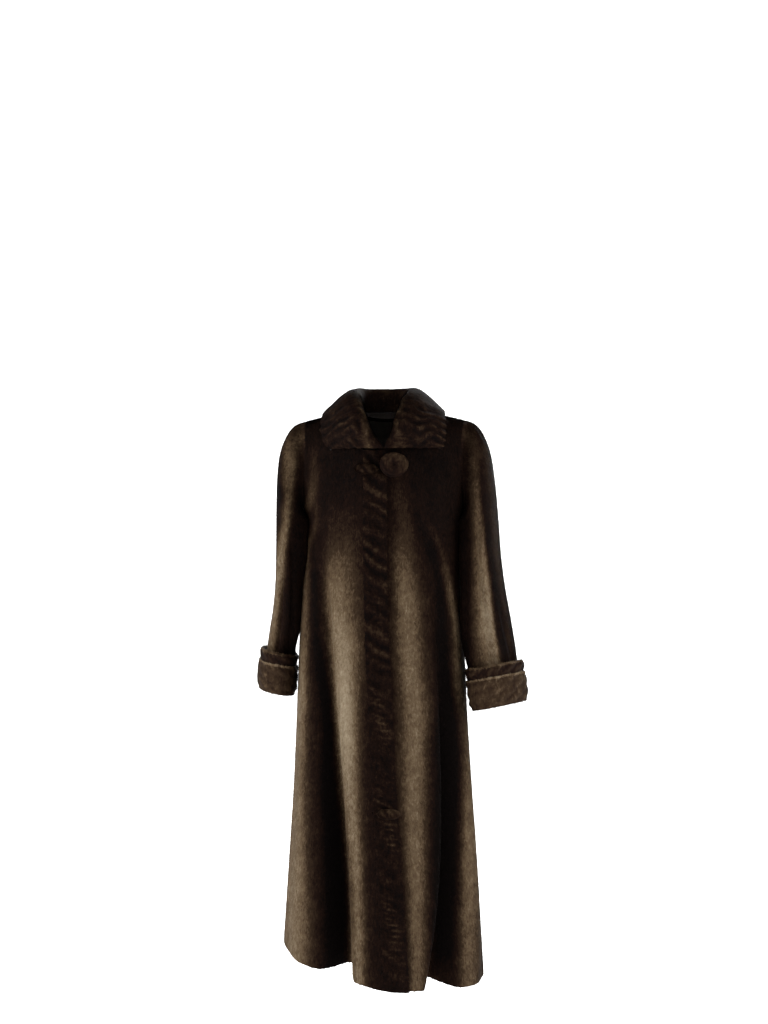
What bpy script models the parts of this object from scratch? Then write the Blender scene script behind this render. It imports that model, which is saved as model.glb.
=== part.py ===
"""A full-length coat of sheared beaver fur, as worn, closed at the neck by one large button.

The front faces -Y, +Z is up and the wearer's left is +X. The origin lies midway between the points
where the shoulder seams meet the neck. Angles around the coat run from 0 at the centre front to 90
at the wearer's left side and 180 at the centre back. Each fur panel is a closed wall: a grid of
outer points at the tips of the pile, and the same grid moved in along its normals by the wall.
"""

import bpy
import numpy as np

# Driving dimensions, in metres
WALL = 0.009  # hide and pile of the panels together
SEAM = 0.0003  # gap between two pieces sewn edge to edge
NECK_Z = -0.100  # centre front of the neckline, where the fronts end
NECK_HALF = 0.0735  # half the width of the neck at the shoulder seams
NECK_BACK = 0.062  # how far the neckline reaches behind the shoulder seams
SHOULDER_X = 0.178  # shoulder point, where the seam meets the armhole
SHOULDER_DROP = 0.024  # fall of the shoulder seam from the neck to the armhole
UNDERARM_Z = -0.265
HEM_Z = -1.220  # mean height of the hem
HEM_TILT = 0.033  # the hem hangs lower by this at the wearer's left, and higher at the right
HEM_RISE = 0.20  # the hem rises in a valley by this share of its depth
BAND_WIDTH = 0.048
UNDERLAP = 0.040  # how far the left front runs on beneath the band
LAP_LIFT = 0.0051  # right front and band stand out by this at the closure, the left front in
LAP_FADE = 0.060  # width over which that step fades
RIB_PITCH = 0.034  # diagonal ribs in the fur of the band
RIB_HEIGHT = 0.0045
COLLAR_RIDGE = 0.0022  # wavy ridges in the fur of the collar
FUR_BROWN = (0.050, 0.031, 0.020)
DARK_BROWN = (0.022, 0.013, 0.008)

# Grid of the panels
BAND_ROWS = 104
SKIRT_ROWS = 17  # from the hem to the underarm
ARM_LEVELS = (UNDERARM_Z, -0.258, -0.240, -0.210, -0.165, NECK_Z)  # up to the neck's height
CAP_TURNS = (22, 44, 64, 80, 89.8)  # over the shoulder, in degrees; the last is the seam

# Sections of the body below the shoulders, from the hem up. The side seam is at y = 0.
BODY = {
    "columns": ("z", "half_width", "centre_x", "front", "back"),
    "rows": (
        (-1.260, 0.229, -0.004, 0.224, 0.224),
        (-1.120, 0.220, -0.004, 0.209, 0.207),
        (-0.980, 0.210, -0.005, 0.195, 0.190),
        (-0.840, 0.200, -0.006, 0.183, 0.176),
        (-0.700, 0.193, -0.007, 0.173, 0.164),
        (-0.560, 0.188, -0.007, 0.164, 0.152),
        (-0.420, 0.183, -0.006, 0.156, 0.138),
        (-0.265, 0.180, 0.000, 0.151, 0.130),
        (-0.200, 0.190, 0.000, 0.147, 0.131),
        (-0.165, 0.197, 0.000, 0.144, 0.131),
        (-0.100, 0.200, 0.000, 0.135, 0.128),
    ),
}
# Line of the closure edge, and of the armhole's edge as seen from the front
CLOSURE = {
    "columns": ("z", "x"),
    "rows": (
        (-1.260, 0.068),
        (-0.980, 0.047),
        (-0.700, 0.030),
        (-0.420, 0.017),
        (-0.100, 0.014),
    ),
}
ARMHOLE = {
    "columns": ("z", "x"),
    "rows": (
        (-0.265, 0.180),
        (-0.235, 0.177),
        (-0.200, 0.174),
        (-0.165, 0.171),
        (-0.100, 0.170),
    ),
}
# Long folds of the skirt. Each starts at its top and reaches its depth at the hem, with its
# middle at three angles on the way. A negative depth is a valley. Lean moves the deepest line.
FOLD_COLUMNS = ("top", "at_top", "at_hip", "at_hem", "half_angle", "depth", "lean")
FOLDS = {
    "right_front_valley": (-0.270, -53, -36, -25, 15, -0.064, -0.38),
    "left_front_valley": (-0.300, 46, 59, 43, 15, -0.060, 0.36),
    "right_side_lobe": (-0.300, -72, -58, -48, 16, 0.007, 0.0),
    "left_side_lobe": (-0.400, 70, 78, 66, 14, 0.007, 0.0),
    "centre_lobe": (-0.500, -6, 8, 8, 24, 0.010, 0.0),
    "left_arm_valley": (-0.280, 104, 103, 101, 18, -0.026, 0.10),
    "left_back_valley": (-0.420, 140, 141, 143, 17, -0.040, 0.20),
    "centre_back_valley": (-0.520, 180, 182, 184, 19, -0.036, -0.20),
    "right_back_valley": (-0.450, 219, 221, 222, 17, -0.041, 0.10),
    "right_arm_valley": (-0.280, 256, 259, 262, 18, -0.028, -0.10),
}
# Sections of a sleeve from the armhole down: its points furthest from the body and nearest to it,
# the middle and half of its depth from front to back, and the angle that its front turns inwards.
SLEEVE_COLUMNS = ("x_out", "z_out", "x_in", "z_in", "y_middle", "half_depth", "twist")
SLEEVE_LEFT = (
    (0.2020, -0.0340, 0.1856, -0.2690, -0.003, 0.0770, 0),
    (0.2150, -0.0470, 0.1872, -0.2800, -0.002, 0.0820, 1),
    (0.2270, -0.0680, 0.1882, -0.2910, 0.000, 0.0885, 2),
    (0.2370, -0.0990, 0.1890, -0.3070, -0.001, 0.0900, 4),
    (0.2430, -0.1400, 0.1895, -0.3270, -0.003, 0.0900, 6),
    (0.2475, -0.1900, 0.1900, -0.3500, -0.005, 0.0890, 8),
    (0.2500, -0.2500, 0.1900, -0.3780, -0.008, 0.0870, 10),
    (0.2530, -0.3200, 0.1905, -0.4120, -0.011, 0.0840, 13),
    (0.2590, -0.3900, 0.1915, -0.4540, -0.015, 0.0810, 17),
    (0.2680, -0.4600, 0.1965, -0.5000, -0.018, 0.0780, 22),
    (0.2770, -0.5300, 0.2040, -0.5480, -0.021, 0.0760, 26),
    (0.2840, -0.5900, 0.2140, -0.6000, -0.023, 0.0740, 28),
    (0.2885, -0.6370, 0.2225, -0.6500, -0.024, 0.0730, 29),
)
SLEEVE_RIGHT = (
    (0.2020, -0.0340, 0.1858, -0.2690, -0.003, 0.0770, 0),
    (0.2150, -0.0470, 0.1872, -0.2800, -0.002, 0.0820, 1),
    (0.2270, -0.0680, 0.1878, -0.2910, 0.000, 0.0885, 1),
    (0.2370, -0.0990, 0.1882, -0.3070, 0.000, 0.0900, 2),
    (0.2425, -0.1400, 0.1886, -0.3270, 0.000, 0.0900, 3),
    (0.2455, -0.1900, 0.1892, -0.3500, 0.001, 0.0890, 4),
    (0.2470, -0.2500, 0.1902, -0.3780, 0.002, 0.0870, 5),
    (0.2480, -0.3200, 0.1918, -0.4120, 0.002, 0.0840, 6),
    (0.2500, -0.3850, 0.1940, -0.4500, 0.003, 0.0810, 7),
    (0.2560, -0.4450, 0.2000, -0.4900, 0.005, 0.0770, 9),
    (0.2650, -0.5000, 0.2115, -0.5320, 0.008, 0.0740, 10),
    (0.2735, -0.5600, 0.2145, -0.5760, 0.009, 0.0720, 11),
    (0.2780, -0.6120, 0.2170, -0.6260, 0.010, 0.0710, 11),
)
SLEEVE_SEAM = 0.0004  # gap between a sleeve and its armhole
SLEEVE_START = 0.0080  # the sleeve follows the panels this far before it turns away
SLEEVE_SQUARE = 0.88  # 1 gives oval sections, and less gives fuller corners
# Profiles of the cuffs: how far out from the sleeve and how far up from its end
CUFF_LOWER = (
    (0.0012, -0.0006),
    (-0.0050, -0.0040),
    (0.0030, -0.0160),
    (0.0110, -0.0145),
    (0.0155, -0.0020),
    (0.0168, 0.0180),
    (0.0166, 0.0400),
    (0.0150, 0.0510),
    (0.0120, 0.0480),
    (0.0118, 0.0345),
    (0.0012, 0.0335),
)
CUFF_UPPER = (
    (0.0020, 0.0355),
    (0.0108, 0.0360),
    (0.0110, 0.0490),
    (0.0138, 0.0580),
    (0.0155, 0.0680),
    (0.0145, 0.0745),
    (0.0100, 0.0765),
    (0.0078, 0.0690),
    (0.0040, 0.0530),
)
CUFF_COLUMNS = 28
CUFF_RIDGE = 0.0013  # wavy ridges in the fur of the cuffs
# Collar: its neck seam, roll and outer edge, from the centre front end to the centre back
COLLAR_COLUMNS = ("seam_x", "seam_y", "seam_z", "roll_x", "roll_y", "roll_z", "edge_x", "edge_y", "edge_z")
COLLAR = (
    (0.001, -0.1530, -0.0985, 0.030, -0.1545, -0.0965, 0.120, -0.112, -0.0960),
    (0.014, -0.1460, -0.0820, 0.026, -0.1600, -0.0720, 0.129, -0.108, -0.0800),
    (0.030, -0.1290, -0.0610, 0.031, -0.1480, -0.0450, 0.1335, -0.098, -0.0590),
    (0.043, -0.1030, -0.0390, 0.040, -0.1260, -0.0190, 0.1345, -0.080, -0.0380),
    (0.052, -0.0720, -0.0190, 0.048, -0.0940, 0.0060, 0.1345, -0.055, -0.0210),
    (0.057, -0.0380, -0.0060, 0.0545, -0.0520, 0.0235, 0.1335, -0.026, -0.0110),
    (0.057, -0.0040, -0.0020, 0.057, -0.0060, 0.0345, 0.1310, 0.006, -0.0070),
    (0.050, 0.0240, -0.0020, 0.054, 0.0340, 0.0430, 0.1220, 0.058, -0.0160),
    (0.030, 0.0440, -0.0020, 0.034, 0.0620, 0.0460, 0.0780, 0.114, -0.0280),
    (0.000, 0.0500, -0.0020, 0.000, 0.0710, 0.0470, 0.0000, 0.132, -0.0350),
)
COLLAR_LEAN = 0.011  # the collar's front ends lie this far towards the wearer's left
COLLAR_WALL = 0.007
COLLAR_END_WALL = 0.0045  # thinner towards its front ends and outer edge
COLLAR_CLEAR = 0.0015  # least room between the collar's fall and the panels beneath
COLLAR_POINTS = 10  # from the neck seam to the outer edge
WING_END = 0.40  # share of each half that is the front wing
WING_RIDGES = 5
# Button, its loop and the lower tab: middle across and up, half sizes, and the pads' heights
BUTTON = (0.0305, -0.1370, 0.0325, 0.0285)
# Rings of the button from the foot of its shank to its dimple: share of the half sizes, height
BUTTON_RINGS = (
    (0.20, 0.0006),
    (0.20, 0.0170),
    (0.55, 0.0180),
    (0.86, 0.0215),
    (1.00, 0.0290),
    (0.97, 0.0350),
    (0.80, 0.0410),
    (0.50, 0.0435),
    (0.22, 0.0425),
)
DIMPLE = 0.0395  # height of the bottom of the button's dimple
BUTTON_LOOP = (-0.0270, -0.1420, 0.0250, 0.0135, 0.0100)
PAD_EDGE = 0.0015  # thickness of the loop and the tab at their rims
LOWER_TAB = (0.0225, -0.8660, 0.0230, 0.0120, 0.0080)


def clear_scene():
    """Removes every object that the file holds."""
    for thing in list(bpy.data.objects):
        bpy.data.objects.remove(thing, do_unlink=True)


def ease(x):
    """0 below 0, 1 above 1, and a smooth step between."""
    x = np.clip(x, 0, 1)
    return x * x * (3 - 2 * x)


def curve(x, y, at):
    """The cubic through the points x, y, with slopes by their neighbours, read at the places at."""
    slope = np.gradient(y, x)
    at = np.clip(np.asarray(at, float), x[0], x[-1])
    i = np.clip(np.searchsorted(x, at) - 1, 0, len(x) - 2)
    h = x[i + 1] - x[i]
    u = (at - x[i]) / h
    first = (2 * u**3 - 3 * u**2 + 1) * y[i] + (u**3 - 2 * u**2 + u) * h * slope[i]
    return first + (3 * u**2 - 2 * u**3) * y[i + 1] + (u**3 - u**2) * h * slope[i + 1]


def read(table, column, z):
    """A column of a table at heights z."""
    rows = np.array(table["rows"], float)
    return curve(rows[:, 0], rows[:, table["columns"].index(column)], z)


def unit(vectors):
    """Vectors brought to length 1."""
    return vectors / np.maximum(np.linalg.norm(vectors, axis=-1, keepdims=True), 1e-12)


def grid_normals(points, wrap):
    """Unit normals of a grid of points, with the columns closed into rings if wrap is set."""
    along = np.gradient(points, axis=0)
    across = np.gradient(points, axis=1)
    if wrap:
        across = (np.roll(points, -1, axis=1) - np.roll(points, 1, axis=1)) / 2
    return unit(np.cross(across, along))


def surface_normals(surface, a, b, step_a, step_b):
    """Unit normals of a surface given as a function of two parameters."""
    across = surface(a + step_a, b) - surface(a - step_a, b)
    along = surface(a, b + step_b) - surface(a, b - step_b)
    return unit(np.cross(across, along))


def place(name, points, quads, colour, flip=False, extra=()):
    """An object of four-cornered faces, each cut along its shorter diagonal, in its own fur."""
    corners = points[quads]
    first = np.linalg.norm(corners[:, 0] - corners[:, 2], axis=1)
    second = np.linalg.norm(corners[:, 1] - corners[:, 3], axis=1)
    cut = np.where((first <= second)[:, None], quads, np.roll(quads, -1, axis=1))
    faces = np.concatenate([cut[:, [0, 1, 2]], cut[:, [0, 2, 3]]])
    faces = (faces[:, ::-1] if flip else faces).tolist() + list(extra)
    mesh = bpy.data.meshes.new(name)
    mesh.from_pydata(points.tolist(), [], faces)
    mesh.update()
    mesh.shade_smooth()
    material = bpy.data.materials.new(name)
    material.use_nodes = True
    shader = material.node_tree.nodes["Principled BSDF"]
    shader.inputs["Base Color"].default_value = (*colour, 1.0)
    shader.inputs["Roughness"].default_value = 0.85
    shader.inputs["Metallic"].default_value = 0.0
    mesh.materials.append(material)
    thing = bpy.data.objects.new(name, mesh)
    bpy.context.scene.collection.objects.link(thing)


def cells(step):
    """The four-cornered faces of a grid of point numbers."""
    corners = [step[:-1, :-1], step[:-1, 1:], step[1:, 1:], step[1:, :-1]]
    return np.stack(corners, axis=-1).reshape(-1, 4)


def numbered(rows, columns):
    """A grid of point numbers whose first column is repeated at its end."""
    step = np.arange(rows * columns).reshape(rows, columns)
    return np.concatenate([step, step[:, :1]], axis=1)


def solid(name, outer, inner, colour, wrap=False, flip=False):
    """A closed body between an outer and an inner grid, with rims along their open edges."""
    rows, columns = outer.shape[:2]
    step = numbered(rows, columns) if wrap else numbered(rows, columns)[:, :-1]
    faces = [cells(step), cells(step)[:, ::-1] + rows * columns]
    rims = [step[0, ::-1], step[-1, :]]
    if not wrap:
        rims += [step[:, 0], step[::-1, -1]]
    for rim in rims:
        a, b = rim[:-1], rim[1:]
        faces.append(np.stack([a, b, b + rows * columns, a + rows * columns], axis=-1))
    faces = np.concatenate(faces)
    points = np.concatenate([outer.reshape(-1, 3), inner.reshape(-1, 3)])
    place(name, points, faces, colour, flip)


def ring_solid(name, grid, colour, flip):
    """A closed body from a grid whose rows and columns both close into rings."""
    step = numbered(*grid.shape[:2])
    step = np.concatenate([step, step[:1]], axis=0)
    place(name, grid.reshape(-1, 3), cells(step), colour, flip)


def fold_depth(angle, z):
    """How far the folds move the surface out at an angle in degrees and a height."""
    moved = np.zeros(np.broadcast(angle, z).shape)
    for top, at_top, at_hip, at_hem, half, depth, lean in FOLDS.values():
        down = np.clip((top - z) / (top - HEM_Z), 0, 1.05)
        bend = at_hip - (at_top + at_hem) / 2
        centre = at_top + (at_hem - at_top) * down + 4 * bend * down * (1 - down)
        u = ((angle - centre + 180) % 360 - 180) / half
        u = np.clip(u + lean * (1 - np.clip(u * u, 0, 1)), -1, 1)
        moved += depth * np.cos(np.pi / 2 * u) ** 2 * ease(down * 1.15) ** 0.6
    return moved


def lap_share(away):
    """1 within a band's width of the closure edge, fading to 0 on both sides."""
    return 1 - ease((np.abs(away) - BAND_WIDTH) / LAP_FADE)


def body(angle, z, lap):
    """Outer points of the body at angles and heights up to the neck.

    An oval section by height, moved out along its own normals by the folds and by the lap, which
    is 1 for the right front, -1 for the left front and 0 for the back.
    """
    half, centre = read(BODY, "half_width", z), read(BODY, "centre_x", z)
    turn = np.radians(angle)
    deep = np.where(np.cos(turn) >= 0, read(BODY, "front", z), read(BODY, "back", z))
    flat = 0 * turn + 0 * z
    out = unit(np.stack([np.sin(turn) / half, -np.cos(turn) / deep, flat], axis=-1))
    x = centre + half * np.sin(turn)
    moved = fold_depth(angle, z) + lap * LAP_LIFT * lap_share(x - read(CLOSURE, "x", z))
    return np.stack([x, -deep * np.cos(turn), z + flat], axis=-1) + out * moved[..., None]


def cap(x, turn, side, lap):
    """Outer points over the shoulder: turn is 0 at the neck's height and 90 on the seam.

    The depth in front (side -1) or behind (side 1) shrinks with the cosine of the turn.
    """
    turn = np.radians(turn)
    depth = read(BODY, "front" if side < 0 else "back", NECK_Z)
    across = np.sqrt(np.clip(1 - (x / read(BODY, "half_width", NECK_Z)) ** 2, 0, 1))
    depth = depth * across + lap * LAP_LIFT * lap_share(x - read(CLOSURE, "x", NECK_Z))
    fall = np.clip((np.abs(x) - NECK_HALF) / (SHOULDER_X - NECK_HALF), 0, 1)
    z = NECK_Z - (NECK_Z + SHOULDER_DROP * fall) * np.sin(turn)
    return np.stack([x + 0 * turn, side * depth * np.cos(turn), z], axis=-1)


def body_row(angle, z, lap):
    """Points and normals of a row of the body."""
    def surface(a, b):
        return body(a, b, lap)

    z = z + 0 * angle
    return surface(angle, z), surface_normals(surface, angle, z, 0.5, 0.001)


def cap_row(x, turn, side, lap):
    """Points and normals of a row over the shoulder."""
    def surface(a, b):
        return cap(a, b, side, lap)

    turn = turn + 0 * x
    return surface(x, turn), -side * surface_normals(surface, x, turn, 0.001, 1.0)


def angle_of(x, z):
    """The angle of the front at a distance x across, in degrees."""
    return np.degrees(np.arcsin((x - read(BODY, "centre_x", z)) / read(BODY, "half_width", z)))


def hem_at(angle):
    """Height of the hem at an angle in degrees."""
    deep = np.maximum(-fold_depth(angle, HEM_Z + 0 * angle), 0)
    return HEM_Z - HEM_TILT * np.sin(np.radians(angle)) + HEM_RISE * deep


def arm_x(turn):
    """Distance of the armhole's edge from the middle, over the shoulder."""
    low = float(read(ARMHOLE, "x", NECK_Z))
    return low + (SHOULDER_X - low) * np.sin(np.radians(turn))


def spread(inner, side, share, z):
    """Angles from a front's inner edge at x = inner to its side seam, or to its armhole above."""
    start = angle_of(inner, z)
    end = 90.0 if z <= UNDERARM_Z else angle_of(float(read(ARMHOLE, "x", z)), z)
    return start + (side * end - start) * share


def part_at_seams(points, normals, columns, side):
    """Draws a panel back from its shoulder seam and its side seams, and squares its edges there."""
    for edge in [(-1, slice(None))] + [(slice(0, SKIRT_ROWS), column) for column in columns]:
        points[(*edge, 1)] += side * SEAM / 2
        normals[(*edge, 1)] = 0
        normals[edge] = unit(normals[edge])


def front_panel(side, offset, columns, lap, neck_power):
    """A front from its inner edge to the side seam, as rows of points and of normals.

    Its inner edge is the closure line moved across by offset, and over the shoulder the neckline,
    which leaves the centre front the faster the smaller neck_power is. side is 1 for the left.
    """
    share = np.linspace(0, 1, columns) ** 0.9
    rows = []
    for down in np.linspace(0, 1, SKIRT_ROWS)[:-1]:
        low = HEM_Z
        for _ in range(4):
            angle = spread(float(read(CLOSURE, "x", low)) + offset, side, share, min(low, UNDERARM_Z))
            z = hem_at(angle) + (UNDERARM_Z - hem_at(angle)) * down
            low = z[0]
        rows.append(body_row(angle, z, lap))
    for z in ARM_LEVELS:
        rows.append(body_row(spread(float(read(CLOSURE, "x", z)) + offset, side, share, z), z, lap))
    start = float(read(CLOSURE, "x", NECK_Z)) + offset
    for turn in CAP_TURNS:
        inner = start + (side * NECK_HALF - start) * np.sin(np.radians(turn)) ** neck_power
        rows.append(cap_row(inner + (side * arm_x(turn) - inner) * share, turn, -1, lap))
    points, normals = np.array([r[0] for r in rows]), np.array([r[1] for r in rows])
    part_at_seams(points, normals, [-1], -1)
    return points, normals


def back_panel(columns):
    """The back from its left side seam round to the right, as rows of points and of normals."""
    share = np.linspace(0, 1, columns)
    angle = 90 + 180 * share
    rows = []
    for down in np.linspace(0, 1, SKIRT_ROWS)[:-1]:
        rows.append(body_row(angle, hem_at(angle) + (UNDERARM_Z - hem_at(angle)) * down, 0))
    for z in ARM_LEVELS:
        edge = 90.0 if z <= UNDERARM_Z else 180 - angle_of(float(read(ARMHOLE, "x", z)), z)
        rows.append(body_row(edge + (360 - 2 * edge) * share, z, 0))
    for turn in CAP_TURNS:
        x = arm_x(turn) * (1 - 2 * share)
        neckline = NECK_BACK * np.sqrt(np.clip(1 - (x / NECK_HALF) ** 2, 0, 1))
        most = np.degrees(np.arccos(neckline / cap(x, 0 * x, 1, 0)[:, 1]))
        rows.append(cap_row(x, turn * most / 90, 1, 0))
    points, normals = np.array([r[0] for r in rows]), np.array([r[1] for r in rows])
    part_at_seams(points, normals, [0, -1], 1)
    return points, normals


def front_band(rows, columns):
    """The band along the closure, as points, normals and the height of its diagonal ribs."""
    share = np.linspace(0, 1, columns)
    line, ribs = [], []
    for up in np.linspace(0, 1, rows):
        low = HEM_Z
        for _ in range(4):
            x = read(CLOSURE, "x", low) - BAND_WIDTH * (1 - share)
            bottom = hem_at(angle_of(x, HEM_Z))
            z = bottom + (NECK_Z - bottom) * up
            low = z[-1]
        line.append(body_row(angle_of(x, z), z, 1))
        wave = z / RIB_PITCH + 0.9 * share + 0.22 * np.sin(z * 23.0)
        edge = np.sin(np.pi * np.clip(share, 0.12, 0.88))
        ribs.append(RIB_HEIGHT * (0.5 + 0.5 * np.sin(2 * np.pi * wave)) * edge)
    return np.array([r[0] for r in line]), np.array([r[1] for r in line]), np.array(ribs)[..., None]


def section_ring(side, section, turn):
    """A ring of a sleeve from one row of its table, at turns from the outermost point forwards."""
    x_out, z_out, x_in, z_in, y_middle, half_depth, twist = section
    middle = np.array([side * (x_out + x_in) / 2, y_middle, (z_out + z_in) / 2])
    reach = np.array([side * (x_out - x_in) / 2, 0, (z_out - z_in) / 2])
    twist = np.radians(twist)
    ahead = np.array([-side * np.sin(twist) * half_depth, -np.cos(twist) * half_depth, 0])
    full = [np.sign(w) * np.abs(w) ** SLEEVE_SQUARE for w in (np.cos(turn), np.sin(turn))]
    return middle + full[0][:, None] * reach + full[1][:, None] * ahead


def armhole_edge(front, back, side):
    """The loop of edge points from the shoulder down the front and up the back."""
    column = 0 if side > 0 else -1
    ahead = front[SKIRT_ROWS - 1:, -1][::-1]
    behind = back[SKIRT_ROWS - 1:, column]
    top, low = (ahead[0] + behind[-1]) / 2, (ahead[-1] + behind[0]) / 2
    return np.concatenate([top[None], ahead[1:-1], low[None], behind[1:-1]])


def sleeve(name, side, sections, front, back):
    """A sleeve whose first ring meets the armhole's edges. front and back give points and normals."""
    edge = armhole_edge(front[0], back[0], side)
    facing = unit(armhole_edge(front[1], back[1], side))
    half_high = (edge[:, 2].max() - edge[:, 2].min()) / 2
    high = (edge[:, 2] - edge[:, 2].min()) / half_high - 1
    ahead = -edge[:, 1] / np.abs(edge[:, 1]).max()
    high, ahead = (np.sign(w) * np.abs(w) ** (1 / SLEEVE_SQUARE) for w in (high, ahead))
    turn = np.arctan2(ahead, high)
    tangent = np.roll(edge, -1, axis=0) - np.roll(edge, 1, axis=0)
    away = side * unit(np.cross(facing, tangent))
    rings = [edge + away * SLEEVE_SEAM, edge + away * SLEEVE_START]
    outer = np.array(rings + [section_ring(side, row, turn) for row in sections])
    normals = side * grid_normals(outer, True)
    normals[0] = facing
    solid(name, outer, outer - normals * WALL, FUR_BROWN, wrap=True, flip=side < 0)


def up_sleeve(rings, high):
    """Points at a distance up a sleeve from its end, given its rings from the end upwards."""
    steps = np.linalg.norm(np.diff(rings, axis=0), axis=2)
    before = np.concatenate([0 * steps[:1], np.cumsum(steps, axis=0)])
    n = int(np.searchsorted(before.mean(axis=1), high)) - 1
    n = min(max(n, 0), len(steps) - 1)
    share = ((high - before[n]) / steps[n])[:, None]
    return rings[n] + (rings[n + 1] - rings[n]) * share


def cuff(name, side, sections, profile, ridges):
    """A layer of a turned-back cuff: its profile carried around the end of the sleeve."""
    turn = np.linspace(0, 2 * np.pi, CUFF_COLUMNS, endpoint=False)
    ends = np.array([section_ring(side, row, turn) for row in sections[:-5:-1]])
    up = (ends[1] - ends[0]).mean(axis=0)
    around = np.roll(ends[0], -1, axis=0) - np.roll(ends[0], 1, axis=0)
    out = unit(side * np.cross(up, around))
    rings = []
    for far, high in profile:
        wave = np.sin(ridges * turn + 260 * high + 1.3 * np.sin(2 * turn))
        lift = CUFF_RIDGE * wave * ease((far - 0.0120) / 0.003)
        rings.append(up_sleeve(ends, high) + out * (far + lift)[:, None])
    ring_solid(name, np.array(rings)[::-1], DARK_BROWN, side < 0)


def collar_grid(places, columns):
    """Under points and wall of the collar: a parabola from neck seam over roll to outer edge.

    places run from 0 at the wearer's right front end, over 1 at the centre back, to 2 at the left.
    """
    left = np.array(COLLAR)
    right = left * np.array([-1, 1, 1] * 3)
    rows = np.concatenate([right, left[-2::-1]])
    knots = np.linspace(0, 2, len(rows))
    at = np.stack([curve(knots, rows[:, n], places) for n in range(9)], axis=-1)
    at[:, 0::3] += (COLLAR_LEAN * np.clip(np.abs(places - 1) * 1.6 - 0.6, 0, 1) ** 2)[:, None]
    seam, roll, edge = at[:, None, 0:3], at[:, None, 3:6], at[:, None, 6:9]
    to_roll = np.linalg.norm(roll - seam, axis=2, keepdims=True)
    peak = to_roll / (to_roll + np.linalg.norm(edge - roll, axis=2, keepdims=True))
    pull = (roll - (1 - peak) ** 2 * seam - peak**2 * edge) / (2 * peak * (1 - peak))
    t = np.linspace(0, 1, columns)[None, :, None]
    grid = (1 - t) ** 2 * seam + 2 * t * (1 - t) * pull + t**2 * edge
    ends = ease((1 - np.abs(places - 1)) / 0.12)[:, None] * (1 - 0.8 * ease((t[..., 0] - 0.6) / 0.4))
    thick = COLLAR_END_WALL + (COLLAR_WALL - COLLAR_END_WALL) * ends
    return clear_of_body(grid, (t - peak)[..., 0]), thick[..., None]


def clear_of_body(grid, past_roll):
    """Moves the collar's fall out from the panels, away from the line through the shoulders."""
    x, y, z = grid[..., 0], grid[..., 1], grid[..., 2]
    ahead, behind = (np.abs(cap(x, 0 * x, side, lap)[..., 1]) for side, lap in ((-1, 1), (1, 0)))
    deep = np.where(y < 0, ahead, behind)
    high = cap(x, 90 + 0 * x, 1, 0)[..., 2] - NECK_Z
    over = np.maximum(z - NECK_Z, 0)
    size = np.sqrt((y / deep) ** 2 + (over / high) ** 2)
    reach = np.hypot(y, over)
    least = reach / np.maximum(size, 1e-6) + COLLAR_CLEAR
    push = np.maximum(least / np.maximum(reach, 1e-6), 1) - 1
    push = push * ease(past_roll / 0.12)
    return np.stack([x, y * (1 + push), z + over * push], axis=-1)


def collar():
    """The collar, with wavy ridges along its front wings."""
    wing = np.linspace(0, WING_END, 21)
    nape = np.linspace(WING_END, 1, 9)[1:]
    places = np.concatenate([wing, nape, 2 - nape[-2::-1], 2 - wing[::-1]])
    grid, thick = collar_grid(places, COLLAR_POINTS)
    normals = grid_normals(grid, False)
    t = np.linspace(0, 1, COLLAR_POINTS)[None, :]
    from_end = np.minimum(places, 2 - places)[:, None]
    wave = from_end * WING_RIDGES / WING_END + 0.35 * np.sin(2 * np.pi * t * 1.3 + 4 * places[:, None])
    fade = (1 - ease((from_end - WING_END + 0.07) / 0.10)) * ease(t * 4 - 0.6)
    ridge = COLLAR_RIDGE * np.sin(2 * np.pi * wave) * fade
    solid("collar", grid - normals * (thick + ridge[..., None]), grid, DARK_BROWN, flip=True)


def on_front(x, z, height, lap):
    """Points at distances x across and heights z, moved out from a front by a height."""
    points, normals = body_row(angle_of(x, z), z, lap)
    return points + normals * height[..., None]


def pad(name, sizes, waist):
    """A small fur pad that lies on the band: a rounded oblong, narrower in its middle by waist."""
    x_middle, z_middle, half_x, half_z, height = sizes
    u, v = np.meshgrid(np.linspace(-1, 1, 11), np.linspace(-1, 1, 7))
    round_end = np.sqrt(1 - 0.75 * np.abs(u) ** 3)
    x = x_middle + half_x * u * np.sqrt(1 - 0.35 * v**2)
    z = z_middle + half_z * v * round_end * (1 - waist * (1 - u**2))
    crown = (1 - u**4) * (1 - v**4)
    lumps = 1 + 0.12 * np.sin(5 * u + 1.0) * np.cos(3 * v)
    foot = SEAM + RIB_HEIGHT + 0 * u
    outer = on_front(x, z, foot + PAD_EDGE + (height - PAD_EDGE) * crown * lumps, 1)
    inner = on_front(x, z, foot, 1)
    solid(name, outer, inner, DARK_BROWN)


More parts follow.
